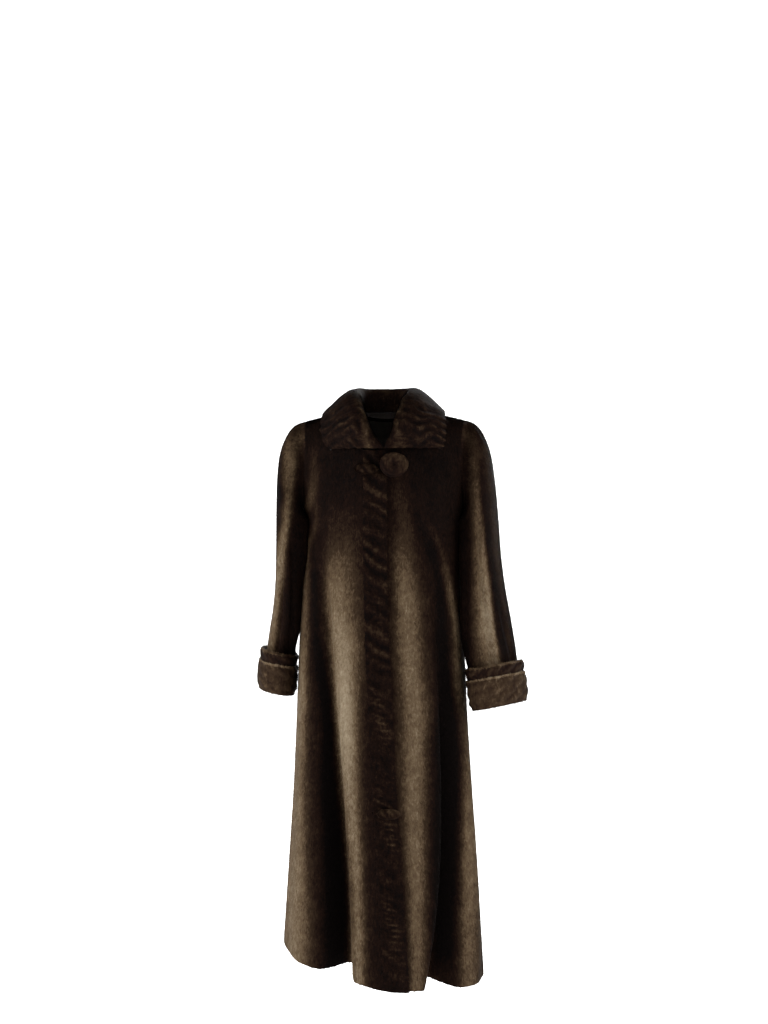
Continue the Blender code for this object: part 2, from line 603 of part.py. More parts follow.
def button():
    """The fur-covered button: a flattened ball with a dimple, on a short shank from the left front."""
    x_middle, z_middle, half_x, half_z = BUTTON
    around = np.linspace(0, 2 * np.pi, 20, endpoint=False)
    z = np.array([z_middle])
    base, out = (v[0] for v in body_row(angle_of(np.array([x_middle]), z), z, -1))
    across = unit(np.cross([0.0, 0.0, 1.0], -out))
    across = across * np.sign(across[0])
    up = unit(np.cross(across, -out))
    up = up * np.sign(up[2])
    rings = []
    for share, far in BUTTON_RINGS:
        wobble = 1 + 0.025 * np.sin(3 * around + 0.7) * (share > 0.3)
        flat = np.cos(around)[:, None] * across * half_x + np.sin(around)[:, None] * up * half_z
        rings.append(base + out * far + flat * (share * wobble)[:, None])
    rings = np.array(rings)
    rows, columns = rings.shape[:2]
    step = numbered(rows, columns)
    foot, top = rows * columns, rows * columns + 1
    ends = []
    for n in range(columns):
        ends.append([int(step[0, n + 1]), int(step[0, n]), foot])
        ends.append([int(step[-1, n]), int(step[-1, n + 1]), top])
    middles = np.array([base + out * BUTTON_RINGS[0][1], base + out * DIMPLE])
    points = np.concatenate([rings.reshape(-1, 3), middles])
    place("button", points, cells(step), DARK_BROWN, extra=ends)


def build():
    """Every piece of the coat."""
    clear_scene()
    right = front_panel(-1, -BAND_WIDTH - SEAM, 15, 1, 0.60)
    left = front_panel(1, -UNDERLAP, 19, -1, 0.35)
    back = back_panel(27)
    solid("front_right", right[0], right[0] - right[1] * WALL, FUR_BROWN, flip=True)
    solid("front_left", left[0], left[0] - left[1] * WALL, FUR_BROWN)
    solid("back", back[0], back[0] - back[1] * WALL, FUR_BROWN)
    band, normals, ribs = front_band(BAND_ROWS, 5)
    solid("front_band", band + normals * ribs, band - normals * WALL, DARK_BROWN)
    for name, side, sections, front in (("right", -1, SLEEVE_RIGHT, right), ("left", 1, SLEEVE_LEFT, left)):
        sleeve("sleeve_" + name, side, sections, front, back)
        cuff("cuff_" + name + "_lower", side, sections, CUFF_LOWER, 7)
        cuff("cuff_" + name + "_upper", side, sections, CUFF_UPPER, 9)
    collar()
    button()
    pad("button_loop", BUTTON_LOOP, 0.15)
    pad("closure_tab", LOWER_TAB, 0.10)


build()
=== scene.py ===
"""The looks of a full-length coat of sheared beaver fur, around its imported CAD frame.

The front faces -Y, +Z is up and the wearer's left is +X. The origin lies midway between the points
where the shoulder seams meet the neck. Every piece has a skin, which follows the solid that it
replaces, and a pile of short tufts that ends where that solid does.
"""

import bpy
import numpy as np
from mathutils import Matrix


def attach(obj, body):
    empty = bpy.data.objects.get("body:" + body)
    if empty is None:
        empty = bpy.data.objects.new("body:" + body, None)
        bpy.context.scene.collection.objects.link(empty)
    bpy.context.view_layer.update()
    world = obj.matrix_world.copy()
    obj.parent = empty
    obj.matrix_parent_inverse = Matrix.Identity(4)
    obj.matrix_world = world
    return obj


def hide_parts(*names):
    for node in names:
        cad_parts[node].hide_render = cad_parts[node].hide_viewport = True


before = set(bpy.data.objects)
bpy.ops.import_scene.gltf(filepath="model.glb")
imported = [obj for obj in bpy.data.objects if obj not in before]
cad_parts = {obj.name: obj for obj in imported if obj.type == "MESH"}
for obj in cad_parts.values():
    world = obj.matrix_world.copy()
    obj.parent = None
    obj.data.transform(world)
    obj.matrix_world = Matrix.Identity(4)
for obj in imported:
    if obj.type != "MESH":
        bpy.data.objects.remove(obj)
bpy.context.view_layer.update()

# --- The two fronts ---------------------------------------------------------------------------
# Sheared beaver pelts, let out into long strips and sewn into two flared fronts that hang in deep
# folds. The wearer's right front laps over the left, whose edge runs on beneath it. Both are sewn
# to the back at the sides and shoulders, and their fur runs down.

HIDE = 0.009  # hide and pile together
PILE = 0.0014  # how far the skin lies beneath the tips of the fur
NECK_Z = -0.100  # where the chest turns over into the shoulders
NECK_HALF = 0.0735  # the shoulder seams' inner ends
SHOULDER_X = 0.178  # their outer ends
SHOULDER_DROP = 0.024  # their fall from the neck
UNDERARM_Z = -0.265
HEM_Z = -1.220
HEM_TILT = 0.033  # how much lower the hem hangs at the left side than in the middle
HEM_RISE = 0.20  # its rise in a valley as a share of the valley's depth
BAND_WIDTH = 0.048
UNDERLAP = 0.040  # how far the left front runs on beneath the band
LAP_LIFT = 0.0051  # how far the right front stands out where it laps, and the left stands in
LAP_FADE = 0.060
SEAM = 0.00005  # gap between neighbours

# Sections of the body by height: half width, middle across, depth in front and behind
BODY_Z = (-1.260, -1.120, -0.980, -0.840, -0.700, -0.560, -0.420, -0.265, -0.200, -0.165, -0.100)
HALF_WIDTH = (0.229, 0.220, 0.210, 0.200, 0.193, 0.188, 0.183, 0.180, 0.190, 0.197, 0.200)
CENTRE_X = (-0.004, -0.004, -0.005, -0.006, -0.007, -0.007, -0.006, 0.0, 0.0, 0.0, 0.0)
FRONT_DEPTH = (0.224, 0.209, 0.195, 0.183, 0.173, 0.164, 0.156, 0.151, 0.147, 0.144, 0.135)
BACK_DEPTH = (0.224, 0.207, 0.190, 0.176, 0.164, 0.152, 0.138, 0.130, 0.131, 0.131, 0.128)
CLOSURE_Z, CLOSURE_X = (-1.260, -0.980, -0.700, -0.420, -0.100), (0.068, 0.047, 0.030, 0.017, 0.014)
ARMHOLE_Z, ARMHOLE_X = (-0.265, -0.235, -0.200, -0.165, -0.100), (0.180, 0.177, 0.174, 0.171, 0.170)

# Long folds: height of the top, angle there, at the hip and at the hem, half angle, depth, lean
FOLDS = (
    (-0.270, -53, -36, -25, 15, -0.064, -0.38),
    (-0.300, 46, 59, 43, 15, -0.060, 0.36),
    (-0.300, -72, -58, -48, 16, 0.007, 0.0),
    (-0.400, 70, 78, 66, 14, 0.007, 0.0),
    (-0.500, -6, 8, 8, 24, 0.010, 0.0),
    (-0.280, 104, 103, 101, 18, -0.026, 0.10),
    (-0.420, 140, 141, 143, 17, -0.040, 0.20),
    (-0.520, 180, 182, 184, 19, -0.036, -0.20),
    (-0.450, 219, 221, 222, 17, -0.041, 0.10),
    (-0.280, 256, 259, 262, 18, -0.028, -0.10),
)


def ease(x):
    """3x^2 - 2x^3 between 0 and 1, and level outside."""
    x = np.clip(x, 0, 1)
    return x * x * (3 - 2 * x)


def curve(x, y, at):
    """The cubic through points whose slope at each is that of its two neighbours."""
    x, y = np.asarray(x, float), np.asarray(y, float)
    slope = np.gradient(y, x)
    at = np.clip(at, x[0], x[-1])
    i = np.clip(np.searchsorted(x, at) - 1, 0, len(x) - 2)
    h = x[i + 1] - x[i]
    u = (at - x[i]) / h
    low = (2 * u**3 - 3 * u**2 + 1) * y[i] + (u**3 - 2 * u**2 + u) * h * slope[i]
    return low + (3 * u**2 - 2 * u**3) * y[i + 1] + (u**3 - u**2) * h * slope[i + 1]


def unit(v):
    """v / |v|."""
    return v / np.maximum(np.linalg.norm(v, axis=-1, keepdims=True), 1e-12)


def grid_normals(points, ring=False):
    """Unit cross product of the steps across and along a grid, its columns a ring if asked."""
    along = np.gradient(points, axis=0)
    across = np.gradient(points, axis=1)
    if ring:
        across = np.roll(points, -1, axis=1) - np.roll(points, 1, axis=1)
    return unit(np.cross(across, along))


def ring_closed(grid):
    """The grid with its first column again after its last."""
    return np.concatenate([grid, grid[:, :1]], axis=1)


def wrapped(angle):
    """The same angle between -180 and 180 degrees."""
    return (angle + 180) % 360 - 180


def fold_depth(angle, z, folds=FOLDS):
    """Sum over folds of depth * cos^2(pi u / 2) * growth.

    u is the angle from the fold's middle as a share of its half width, moved on by
    lean * (1 - u^2), and growth rises with the share of the way from the fold's top to the hem.
    """
    moved = 0 * angle + 0 * z
    for top, at_top, at_hip, at_hem, half, depth, lean in folds:
        down = np.clip((top - z) / (top - HEM_Z), 0, 1.05)
        bend = at_hip - (at_top + at_hem) / 2
        centre = at_top + (at_hem - at_top) * down + 4 * bend * down * (1 - down)
        u = wrapped(angle - centre) / half
        u = np.clip(u + lean * (1 - np.clip(u * u, 0, 1)), -1, 1)
        moved = moved + depth * np.cos(np.pi / 2 * u) ** 2 * ease(down * 1.15) ** 0.6
    return moved


def lap_share(away):
    """1 within a band's width of the closure, easing to 0 over LAP_FADE."""
    return 1 - ease((np.abs(away) - BAND_WIDTH) / LAP_FADE)


def body(angle, z, lap):
    """Ellipse (centre + half sin a, -depth cos a) by height, moved along its normal by the folds."""
    half, centre = curve(BODY_Z, HALF_WIDTH, z), curve(BODY_Z, CENTRE_X, z)
    turn = np.radians(angle)
    deep = np.where(np.cos(turn) >= 0, curve(BODY_Z, FRONT_DEPTH, z), curve(BODY_Z, BACK_DEPTH, z))
    out = unit(np.stack([np.sin(turn) / half, -np.cos(turn) / deep, 0 * turn + 0 * z], axis=-1))
    x = centre + half * np.sin(turn)
    moved = fold_depth(angle, z) + lap * LAP_LIFT * lap_share(x - curve(CLOSURE_Z, CLOSURE_X, z))
    return np.stack([x, -deep * np.cos(turn), z + 0 * x], axis=-1) + out * moved[..., None]


def cap(x, turn, side, lap):
    """Quarter ellipse from the chest or back up to the shoulder seam, narrowing to its ends."""
    turn = np.radians(turn)
    depth = (FRONT_DEPTH if side < 0 else BACK_DEPTH)[-1]
    across = np.sqrt(np.clip(1 - (x / HALF_WIDTH[-1]) ** 2, 0, 1))
    depth = depth * across + lap * LAP_LIFT * lap_share(x - CLOSURE_X[-1])
    fall = np.clip((np.abs(x) - NECK_HALF) / (SHOULDER_X - NECK_HALF), 0, 1)
    z = NECK_Z - (NECK_Z + SHOULDER_DROP * fall) * np.sin(turn)
    return np.stack([x + 0 * turn, side * depth * np.cos(turn), z], axis=-1)


def angle_of(x, z):
    """The angle whose sine is the distance across as a share of the half width."""
    return np.degrees(np.arcsin((x - curve(BODY_Z, CENTRE_X, z)) / curve(BODY_Z, HALF_WIDTH, z)))


def hem_at(angle):
    """Height of the hem: a tilt with the sine of the angle, and a rise in the valleys."""
    deep = np.maximum(-fold_depth(angle, HEM_Z + 0 * angle), 0)
    return HEM_Z - HEM_TILT * np.sin(np.radians(angle)) + HEM_RISE * deep


def arm_x(turn):
    """Distance of the armhole's edge from the middle, over the shoulder."""
    return ARMHOLE_X[-1] + (SHOULDER_X - ARMHOLE_X[-1]) * np.sin(np.radians(turn))


def front_grid(side, offset, power, lap, share, skirt, chest, crown):
    """Points of a front: rows up the skirt, then the chest, then over the shoulder.

    share runs from the inner edge to the side. The other three count the rows.
    """
    rise = np.linspace(0, 1, skirt, endpoint=False)[:, None]
    low = HEM_Z + 0 * rise
    for _ in range(5):
        start = angle_of(curve(CLOSURE_Z, CLOSURE_X, low) + offset, low)
        angle = start + (side * 90 - start) * share
        z = hem_at(angle) + (UNDERARM_Z - hem_at(angle)) * rise
        low = z[:, :1]
    below = body(angle, z, lap)
    z = np.linspace(UNDERARM_Z, NECK_Z, chest)[:, None]
    start = angle_of(curve(CLOSURE_Z, CLOSURE_X, z) + offset, z)
    end = np.where(z <= UNDERARM_Z, 90.0, angle_of(curve(ARMHOLE_Z, ARMHOLE_X, z), z))
    middle = body(start + (side * end - start) * share, z + 0 * share, lap)
    turn = np.linspace(0, 90, crown + 1)[1:, None]
    start = CLOSURE_X[-1] + offset
    inner = start + (side * NECK_HALF - start) * np.sin(np.radians(turn)) ** power
    above = cap(inner + (side * arm_x(turn) - inner) * share, turn, -1, lap)
    return np.concatenate([below, middle, above])


# Painted highlights on the front's ridges and painted shade in its valleys, hollows and under the
# collar, charted as the camera sees them from the hem up, with the darker fur of the middle. Each
# point has its height, place across and half widths to the left and to the right in millimetres,
# and how much lighter the fur is painted in hundredths
FRONT_PAINTED_LIGHT_AND_TONE = {
    "valley beside the right front": (
        (-1226, -108, 27, 32, -32), (-1111, -110, 25, 34, -36), (-990, -117, 20, 29, -36),
        (-841, -126, 16, 20, -36), (-679, -130, 13, 13, -34), (-571, -146, 13, 13, -22),
        (-463, -158, 11, 11, -16), (-371, -162, 11, 11, -16), (-292, -171, 11, 11, -10),
    ),
    "hollow below the right arm": (
        (-292, -171, 7, 7, -2), (-274, -171, 9, 7, -12), (-257, -171, 9, 9, -16),
        (-234, -169, 9, 9, -12), (-216, -166, 7, 7, -2),
    ),
    "edge beside that hollow": (
        (-301, -171, 7, 9, 10), (-274, -162, 7, 9, 14), (-252, -155, 7, 9, 14),
        (-225, -153, 7, 9, 12), (-198, -153, 7, 9, 6),
    ),
    "bright ridge of the right front": (
        (-1327, -65, 20, 25, 54), (-1012, -70, 20, 22, 54), (-877, -81, 20, 27, 56),
        (-754, -92, 20, 34, 70), (-652, -97, 20, 38, 70), (-540, -103, 22, 49, 62),
        (-427, -115, 22, 56, 50), (-349, -119, 18, 58, 40), (-281, -101, 36, 49, 22),
        (-202, -90, 36, 49, 6),
    ),
    "lobe at the right side": (
        (-1327, -205, 34, 40, 50), (-1103, -205, 34, 36, 52), (-990, -200, 32, 27, 50),
        (-855, -200, 32, 25, 50), (-742, -196, 27, 22, 44), (-630, -193, 22, 20, 30),
        (-517, -196, 22, 18, 8),
    ),
    "strip at the right side": (
        (-698, -193, 18, 18, 10), (-630, -191, 18, 18, 24), (-540, -184, 13, 13, 34),
        (-472, -182, 13, 13, 34), (-405, -180, 11, 13, 30), (-304, -178, 9, 11, 34),
        (-247, -180, 9, 11, 20), (-180, -169, 9, 11, 24),
    ),
    "strip beside the right arm": (
        (-225, -166, 9, 13, 12), (-158, -160, 11, 13, 26), (-68, -162, 13, 16, 6),
    ),
    "ridge of the left front": (
        (-1327, 70, 18, 22, 36), (-1103, 70, 20, 27, 45), (-990, 67, 25, 29, 46),
        (-841, 65, 32, 32, 47), (-652, 63, 34, 36, 47), (-540, 54, 34, 34, 48),
        (-427, 47, 29, 38, 44), (-349, 36, 22, 36, 40), (-281, 34, 22, 32, 22),
        (-202, 38, 20, 22, 8),
    ),
    "valley of the left front": (
        (-1170, 135, 27, 20, -32), (-1012, 137, 29, 25, -34), (-877, 142, 32, 27, -34),
        (-742, 142, 29, 27, -34), (-652, 137, 18, 18, -30), (-517, 128, 13, 13, -26),
        (-382, 121, 11, 11, -18), (-301, 101, 16, 13, -12), (-257, 79, 11, 11, -8),
        (-216, 63, 11, 11, -5),
    ),
    "edge of the left front's fold": (
        (-686, 173, 13, 18, 10), (-630, 169, 16, 13, 34), (-553, 169, 16, 9, 40),
        (-517, 166, 13, 9, 42), (-481, 162, 11, 9, 44), (-446, 155, 11, 9, 40),
        (-409, 148, 11, 9, 36), (-364, 139, 11, 9, 26), (-328, 130, 9, 9, 18),
        (-292, 119, 9, 9, 14), (-257, 99, 9, 9, 10), (-220, 83, 7, 9, 5),
    ),
    "lobe at the left side": (
        (-1327, 187, 20, 32, 34), (-1057, 189, 22, 32, 43), (-877, 189, 20, 32, 40),
        (-742, 187, 18, 32, 26), (-686, 187, 18, 27, 10),
    ),
    "dark middle": (
        (-1215, 25, 36, 22, -14), (-1012, 9, 32, 20, -12), (-787, -4, 32, 20, -12),
        (-540, -7, 27, 20, -10), (-337, -7, 22, 18, -4),
    ),
    "shade under the right wing": (
        (-135, -97, 45, 45, -2), (-101, -101, 54, 49, -4), (-58, -101, 54, 49, -3),
    ),
    "shade under the left wing": (
        (-184, 115, 45, 45, -2), (-148, 110, 54, 49, -5), (-108, 106, 58, 54, -7),
        (-58, 106, 58, 54, -5),
    ),
    "shine of the left chest": (
        (-259, 56, 18, 22, 4), (-202, 29, 16, 22, 14), (-135, 29, 20, 27, 6),
    ),
}
# Painted highlights on the back's sides and ridges and painted shade in its fold valleys: angle and
# height at the top, the same at the bottom, half width, lighter
BACK_PAINTED_LIGHT = (
    (-82, -0.42, -78, -1.30, 9, 0.22),
    (88, -0.44, 86, -1.30, 9, 0.22),
    (122, -0.34, 121, -1.30, 10, 0.36),
    (140, -0.50, 143, -1.30, 8, -0.26),
    (159, -0.38, 162, -1.30, 9, 0.40),
    (181, -0.56, 184, -1.30, 8, -0.26),
    (202, -0.36, 204, -1.30, 9, 0.40),
    (220, -0.52, 222, -1.30, 8, -0.26),
    (239, -0.34, 241, -1.30, 10, 0.36),
    (165, -0.12, 172, -0.36, 12, 0.10),
    (207, -0.13, 198, -0.40, 10, 0.12),
)
CHEST_TONE = 0.10
SKIRT_TONE = 0.19
CHEST_END = -0.22  # height where the chest's tone starts to turn into the skirt's
CHEST_FADE = 0.22
STREAK_UNITS = np.array([1000, 1000, 1000, 1000, 100])[:, None]
VIEW_TURN = np.radians(5.0)  # the camera's angle, distance and height
VIEW_DISTANCE = 2.8
VIEW_Z = -0.2925


def seen_from_front(points):
    """Places across and up as the camera sees them, at the distance of the coat's middle."""
    across = points[..., 0] * np.cos(VIEW_TURN) + points[..., 1] * np.sin(VIEW_TURN)
    ahead = points[..., 1] * np.cos(VIEW_TURN) - points[..., 0] * np.sin(VIEW_TURN)
    scale = VIEW_DISTANCE / (VIEW_DISTANCE + ahead)
    return across * scale, VIEW_Z + (points[..., 2] - VIEW_Z) * scale


def streaks_at(across, up, streaks):
    """Summed painted light and shade: lightening * exp(-|u|^2.5), u the distance from the streak's
    line in half widths.
    """
    tone = 0 * across
    for points in streaks.values():
        heights, places, left, right, painted_light = np.array(points).T / STREAK_UNITS
        off = across - curve(heights, places, up)
        u = off / np.where(off < 0, curve(heights, left, up), curve(heights, right, up))
        ends = ease((up - heights[0] + 0.10) / 0.06) * ease((heights[-1] + 0.05 - up) / 0.08)
        tone = tone + curve(heights, painted_light, up) * np.exp(-np.abs(u) ** 2.5) * ends
    return tone


def pelt_tone_and_shading(points):
    """Tone of the fur by place, with the painted highlights and shade of the front in front and of
    the back behind.
    """
    x, y, z = points[..., 0], points[..., 1], points[..., 2]
    half, centre = curve(BODY_Z, HALF_WIDTH, z), curve(BODY_Z, CENTRE_X, z)
    angle = np.degrees(np.arctan2((x - centre) / half, -y / curve(BODY_Z, FRONT_DEPTH, z)))
    behind = 0 * x
    for top, top_z, bottom, bottom_z, wide, painted_light in BACK_PAINTED_LIGHT:
        share = (top_z - z) / (top_z - bottom_z)
        u = wrapped(angle - top - (bottom - top) * np.clip(share, 0, 1)) / wide
        ends = ease((share + 0.10) / 0.24) * ease((1.14 - share) / 0.28)
        behind = behind + painted_light * np.exp(-u * u) * ends
    ahead = streaks_at(*seen_from_front(points), FRONT_PAINTED_LIGHT_AND_TONE)
    front = ease((0.03 - y) / 0.05)
    base = CHEST_TONE + (SKIRT_TONE - CHEST_TONE) * ease((CHEST_END - z) / CHEST_FADE)
    return base + ahead * front + behind * (1 - front)


def wired(tree, kind, links=(), values=(), **settings):
    """A node with its settings, links from (socket, input) pairs, and (input, value) pairs."""
    node = tree.nodes.new(kind)
    for key, value in settings.items():
        setattr(node, key, value)
    for source, target in links:
        tree.links.new(source, node.inputs[target])
    for target, value in values:
        node.inputs[target].default_value = value
    return node


def new_material(name, values):
    """A material whose shader has the (input, value) pairs, its node tree and that shader."""
    material = bpy.data.materials.new(name)
    material.use_nodes = True
    shader = material.node_tree.nodes["Principled BSDF"]
    for target, value in values:
        shader.inputs[target].default_value = value
    return material, material.node_tree, shader


# Noises that are added to the tone: scale by axis, detail and distortion. The first are long
# streaks along the nap, the second soft clouds and the third small clumps
FUR_NOISES = {
    "Streaks": ((300.0, 300.0, 95.0), 3.0, 0.0),
    "Clouds": ((26.0, 26.0, 26.0), 4.0, 0.0),
    "Mottle": ((105.0, 105.0, 80.0), 2.0, 0.8),
}
FUR_RAMP = (
    (0.0, (0.0018, 0.0009, 0.0007)),
    (0.2, (0.0076, 0.0031, 0.0018)),
    (0.4, (0.027, 0.0160, 0.0086)),
    (0.6, (0.088, 0.059, 0.034)),
    (0.8, (0.190, 0.145, 0.094)),
    (1.0, (0.300, 0.245, 0.170)),
)
ROOT_SHADE = 0.70  # tone of a tuft's root as a share of its tip's


def fur_colour_group():
    """Colour and height of sheared fur: a ramp read at (tone + noises) * shade of root or tip."""
    group = bpy.data.node_groups.new("fur_colour", "ShaderNodeTree")
    inputs = (("Tone", 0.4), ("Tip", 1.0), ("Streaks", 0.16), ("Clouds", 0.12), ("Mottle", 0.12))
    for label, value in inputs:
        socket = group.interface.new_socket(label, in_out="INPUT", socket_type="NodeSocketFloat")
        socket.default_value = value
    group.interface.new_socket("Color", in_out="OUTPUT", socket_type="NodeSocketColor")
    group.interface.new_socket("Height", in_out="OUTPUT", socket_type="NodeSocketFloat")
    given, result = group.nodes.new("NodeGroupInput"), group.nodes.new("NodeGroupOutput")
    place = wired(group, "ShaderNodeTexCoord").outputs["Object"]
    tone = given.outputs["Tone"]
    for label, (scale, detail, distortion) in FUR_NOISES.items():
        stretch = wired(group, "ShaderNodeMapping", [(place, "Vector")], [("Scale", scale)])
        sizes = [("Scale", 1.0), ("Detail", detail), ("Distortion", distortion)]
        noise = wired(group, "ShaderNodeTexNoise", [(stretch.outputs[0], "Vector")], sizes)
        if label == "Streaks":
            group.links.new(noise.outputs["Fac"], result.inputs["Height"])
        links = [(noise.outputs["Fac"], 0)]
        centred = wired(group, "ShaderNodeMath", links, [(1, 0.5)], operation="SUBTRACT")
        links = [(centred.outputs[0], 0), (given.outputs[label], 1), (tone, 2)]
        tone = wired(group, "ShaderNodeMath", links, operation="MULTIPLY_ADD").outputs[0]
    links, values = [(given.outputs["Tip"], 0)], [(1, 1 - ROOT_SHADE), (2, ROOT_SHADE)]
    shade = wired(group, "ShaderNodeMath", links, values, operation="MULTIPLY_ADD")
    links = [(tone, 0), (shade.outputs[0], 1)]
    shaded = wired(group, "ShaderNodeMath", links, operation="MULTIPLY")
    ramp = wired(group, "ShaderNodeValToRGB", [(shaded.outputs[0], "Fac")])
    ramp.color_ramp.elements.remove(ramp.color_ramp.elements[1])
    ramp.color_ramp.elements[0].position = FUR_RAMP[0][0]
    ramp.color_ramp.elements[0].color = (*FUR_RAMP[0][1], 1.0)
    for position, colour in FUR_RAMP[1:]:
        ramp.color_ramp.elements.new(position).color = (*colour, 1.0)
    group.links.new(ramp.outputs["Color"], result.inputs["Color"])
    return group


FUR_COLOUR = fur_colour_group()


def fur_material(name, streaks, clouds, mottle):
    """Sheared fur: colour from the piece's tone and tip attributes, matt, with a faint relief."""
    values = [("Roughness", 0.85), ("Specular IOR Level", 0.04)]
    material, tree, shader = new_material(name, values)
    fur = tree.nodes.new("ShaderNodeGroup")
    fur.node_tree = FUR_COLOUR
    for label in ("tone", "tip"):
        given = wired(tree, "ShaderNodeAttribute", attribute_name=label)
        tree.links.new(given.outputs["Fac"], fur.inputs[label.title()])
    for label, amount in (("Streaks", streaks), ("Clouds", clouds), ("Mottle", mottle)):
        fur.inputs[label].default_value = amount
    tree.links.new(fur.outputs["Color"], shader.inputs["Base Color"])
    values = [("Distance", 0.0001), ("Strength", 0.8)]
    relief = wired(tree, "ShaderNodeBump", [(fur.outputs["Height"], "Height")], values)
    tree.links.new(relief.outputs["Normal"], shader.inputs["Normal"])
    return material


HIDE_COLOURS = ((0.010, 0.0062, 0.0042), (0.022, 0.0140, 0.0095))


def hide_material():
    """The suede side of the pelts: matt brown with fine grain and faint blotches."""
    material, tree, shader = new_material("hide", [("Roughness", 0.95)])
    place = wired(tree, "ShaderNodeTexCoord").outputs["Object"]
    grain = wired(tree, "ShaderNodeTexNoise", [(place, "Vector")], [("Scale", 420.0)])
    blotch = wired(tree, "ShaderNodeTexNoise", [(place, "Vector")], [("Scale", 14.0)])
    ramp = wired(tree, "ShaderNodeValToRGB", [(blotch.outputs["Fac"], "Fac")])
    for stop, colour in zip(ramp.color_ramp.elements, HIDE_COLOURS):
        stop.color = (*colour, 1.0)
    tree.links.new(ramp.outputs["Color"], shader.inputs["Base Color"])
    links = [(grain.outputs["Fac"], "Height")]
    relief = wired(tree, "ShaderNodeBump", links, [("Distance", 0.0004)])
    tree.links.new(relief.outputs["Normal"], shader.inputs["Normal"])
    return material


HIDE_SIDE = hide_material()
PELT = fur_material("pelt_fur", streaks=0.26, clouds=0.21, mottle=0.29)
HIDE_SHADE = 0.35  # tone of the wall's inner points as a share of its outer ones'
SKIN_TIP = 0.7  # how light the skin is between a tuft's root and its tip: painted shade beneath the tufts
TUFT_SWAY = 0.22  # scatter of the tufts' direction in radians
TUFT_LIFT = 4  # and of their rise in degrees
TUFT_LENGTHS = (0.75, 1.15)
TUFT_WIDTHS = (0.35, 0.65)  # half widths as shares of the width
EDGE_LENGTH = 0.30  # length at a free edge, and how fast it grows from there
EDGE_GROWTH = 0.6
TONE_SCATTER = 0.03
NORMAL_SCATTER = 0.10
NORMAL_LEAN = 0.15
ROOT_TIP = 0.55  # how light a tuft is at its root, where its tip is 1: painted shade deep in the pile


def make_piece(name, points, faces, materials, values, indices=None, shading=None):
    """A mesh object from arrays, with float point attributes, riding on the coat.

    shading gives the points other normals than those of their faces.
    """
    mesh = bpy.data.meshes.new(name)
    mesh.from_pydata(points, [], faces)
    for label, data in values.items():
        layer = mesh.attributes.new(label, "FLOAT", "POINT")
        layer.data.foreach_set("value", np.asarray(data, np.float32).ravel())
    for material in materials:
        mesh.materials.append(material)
    if indices is not None:
        mesh.polygons.foreach_set("material_index", indices)
    mesh.update()
    mesh.shade_smooth()
    if shading is not None:
        mesh.normals_split_custom_set_from_vertices(shading)
    piece = bpy.data.objects.new(name, mesh)
    bpy.context.scene.collection.objects.link(piece)
    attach(piece, "root")
    return piece


def cells_of(number):
    """The corners of each cell of a grid of point numbers."""
    corners = (number[:-1, :-1], number[:-1, 1:], number[1:, 1:], number[1:, :-1])
    return np.stack(corners, axis=-1).reshape(-1, 4)


def skin(name, points, normals, tone, material, ring=False, flip=False, sink=PILE, wall=HIDE):
    """A closed wall: points sunk by the pile outside, sunk by the hide inside, and rims between."""
    rows, columns = points.shape[:2]
    count = rows * columns
    number = np.arange(count).reshape(rows, columns)
    if ring:
        number = ring_closed(number)
    cells = cells_of(number)
    faces = [cells, cells[:, ::-1] + count]
    rims = [number[0, ::-1], number[-1, :]] + ([] if ring else [number[:, 0], number[::-1, -1]])
    for rim in rims:
        a, b = rim[:-1], rim[1:]
        faces.append(np.stack([a, b, b + count, a + count], axis=-1))
    faces = np.concatenate(faces)
    indices = np.zeros(len(faces), np.int32)
    indices[len(cells):2 * len(cells)] = 1
    both = np.concatenate([(points - normals * deep).reshape(-1, 3) for deep in (sink, wall)])
    tones = np.concatenate([tone.ravel(), HIDE_SHADE * tone.ravel()])
    values = {"tone": tones, "tip": 0 * tones + SKIN_TIP}
    faces = faces[:, ::-1] if flip else faces
    return make_piece(name, both, faces, [material, HIDE_SIDE], values, indices)


def cell_sides(points):
    """Sides across and along of each cell of a grid, and its area |across x along|."""
    across = points[:-1, 1:] - points[:-1, :-1]
    along = points[1:, :-1] - points[:-1, :-1]
    return across, along, np.linalg.norm(np.cross(across, along), axis=-1)


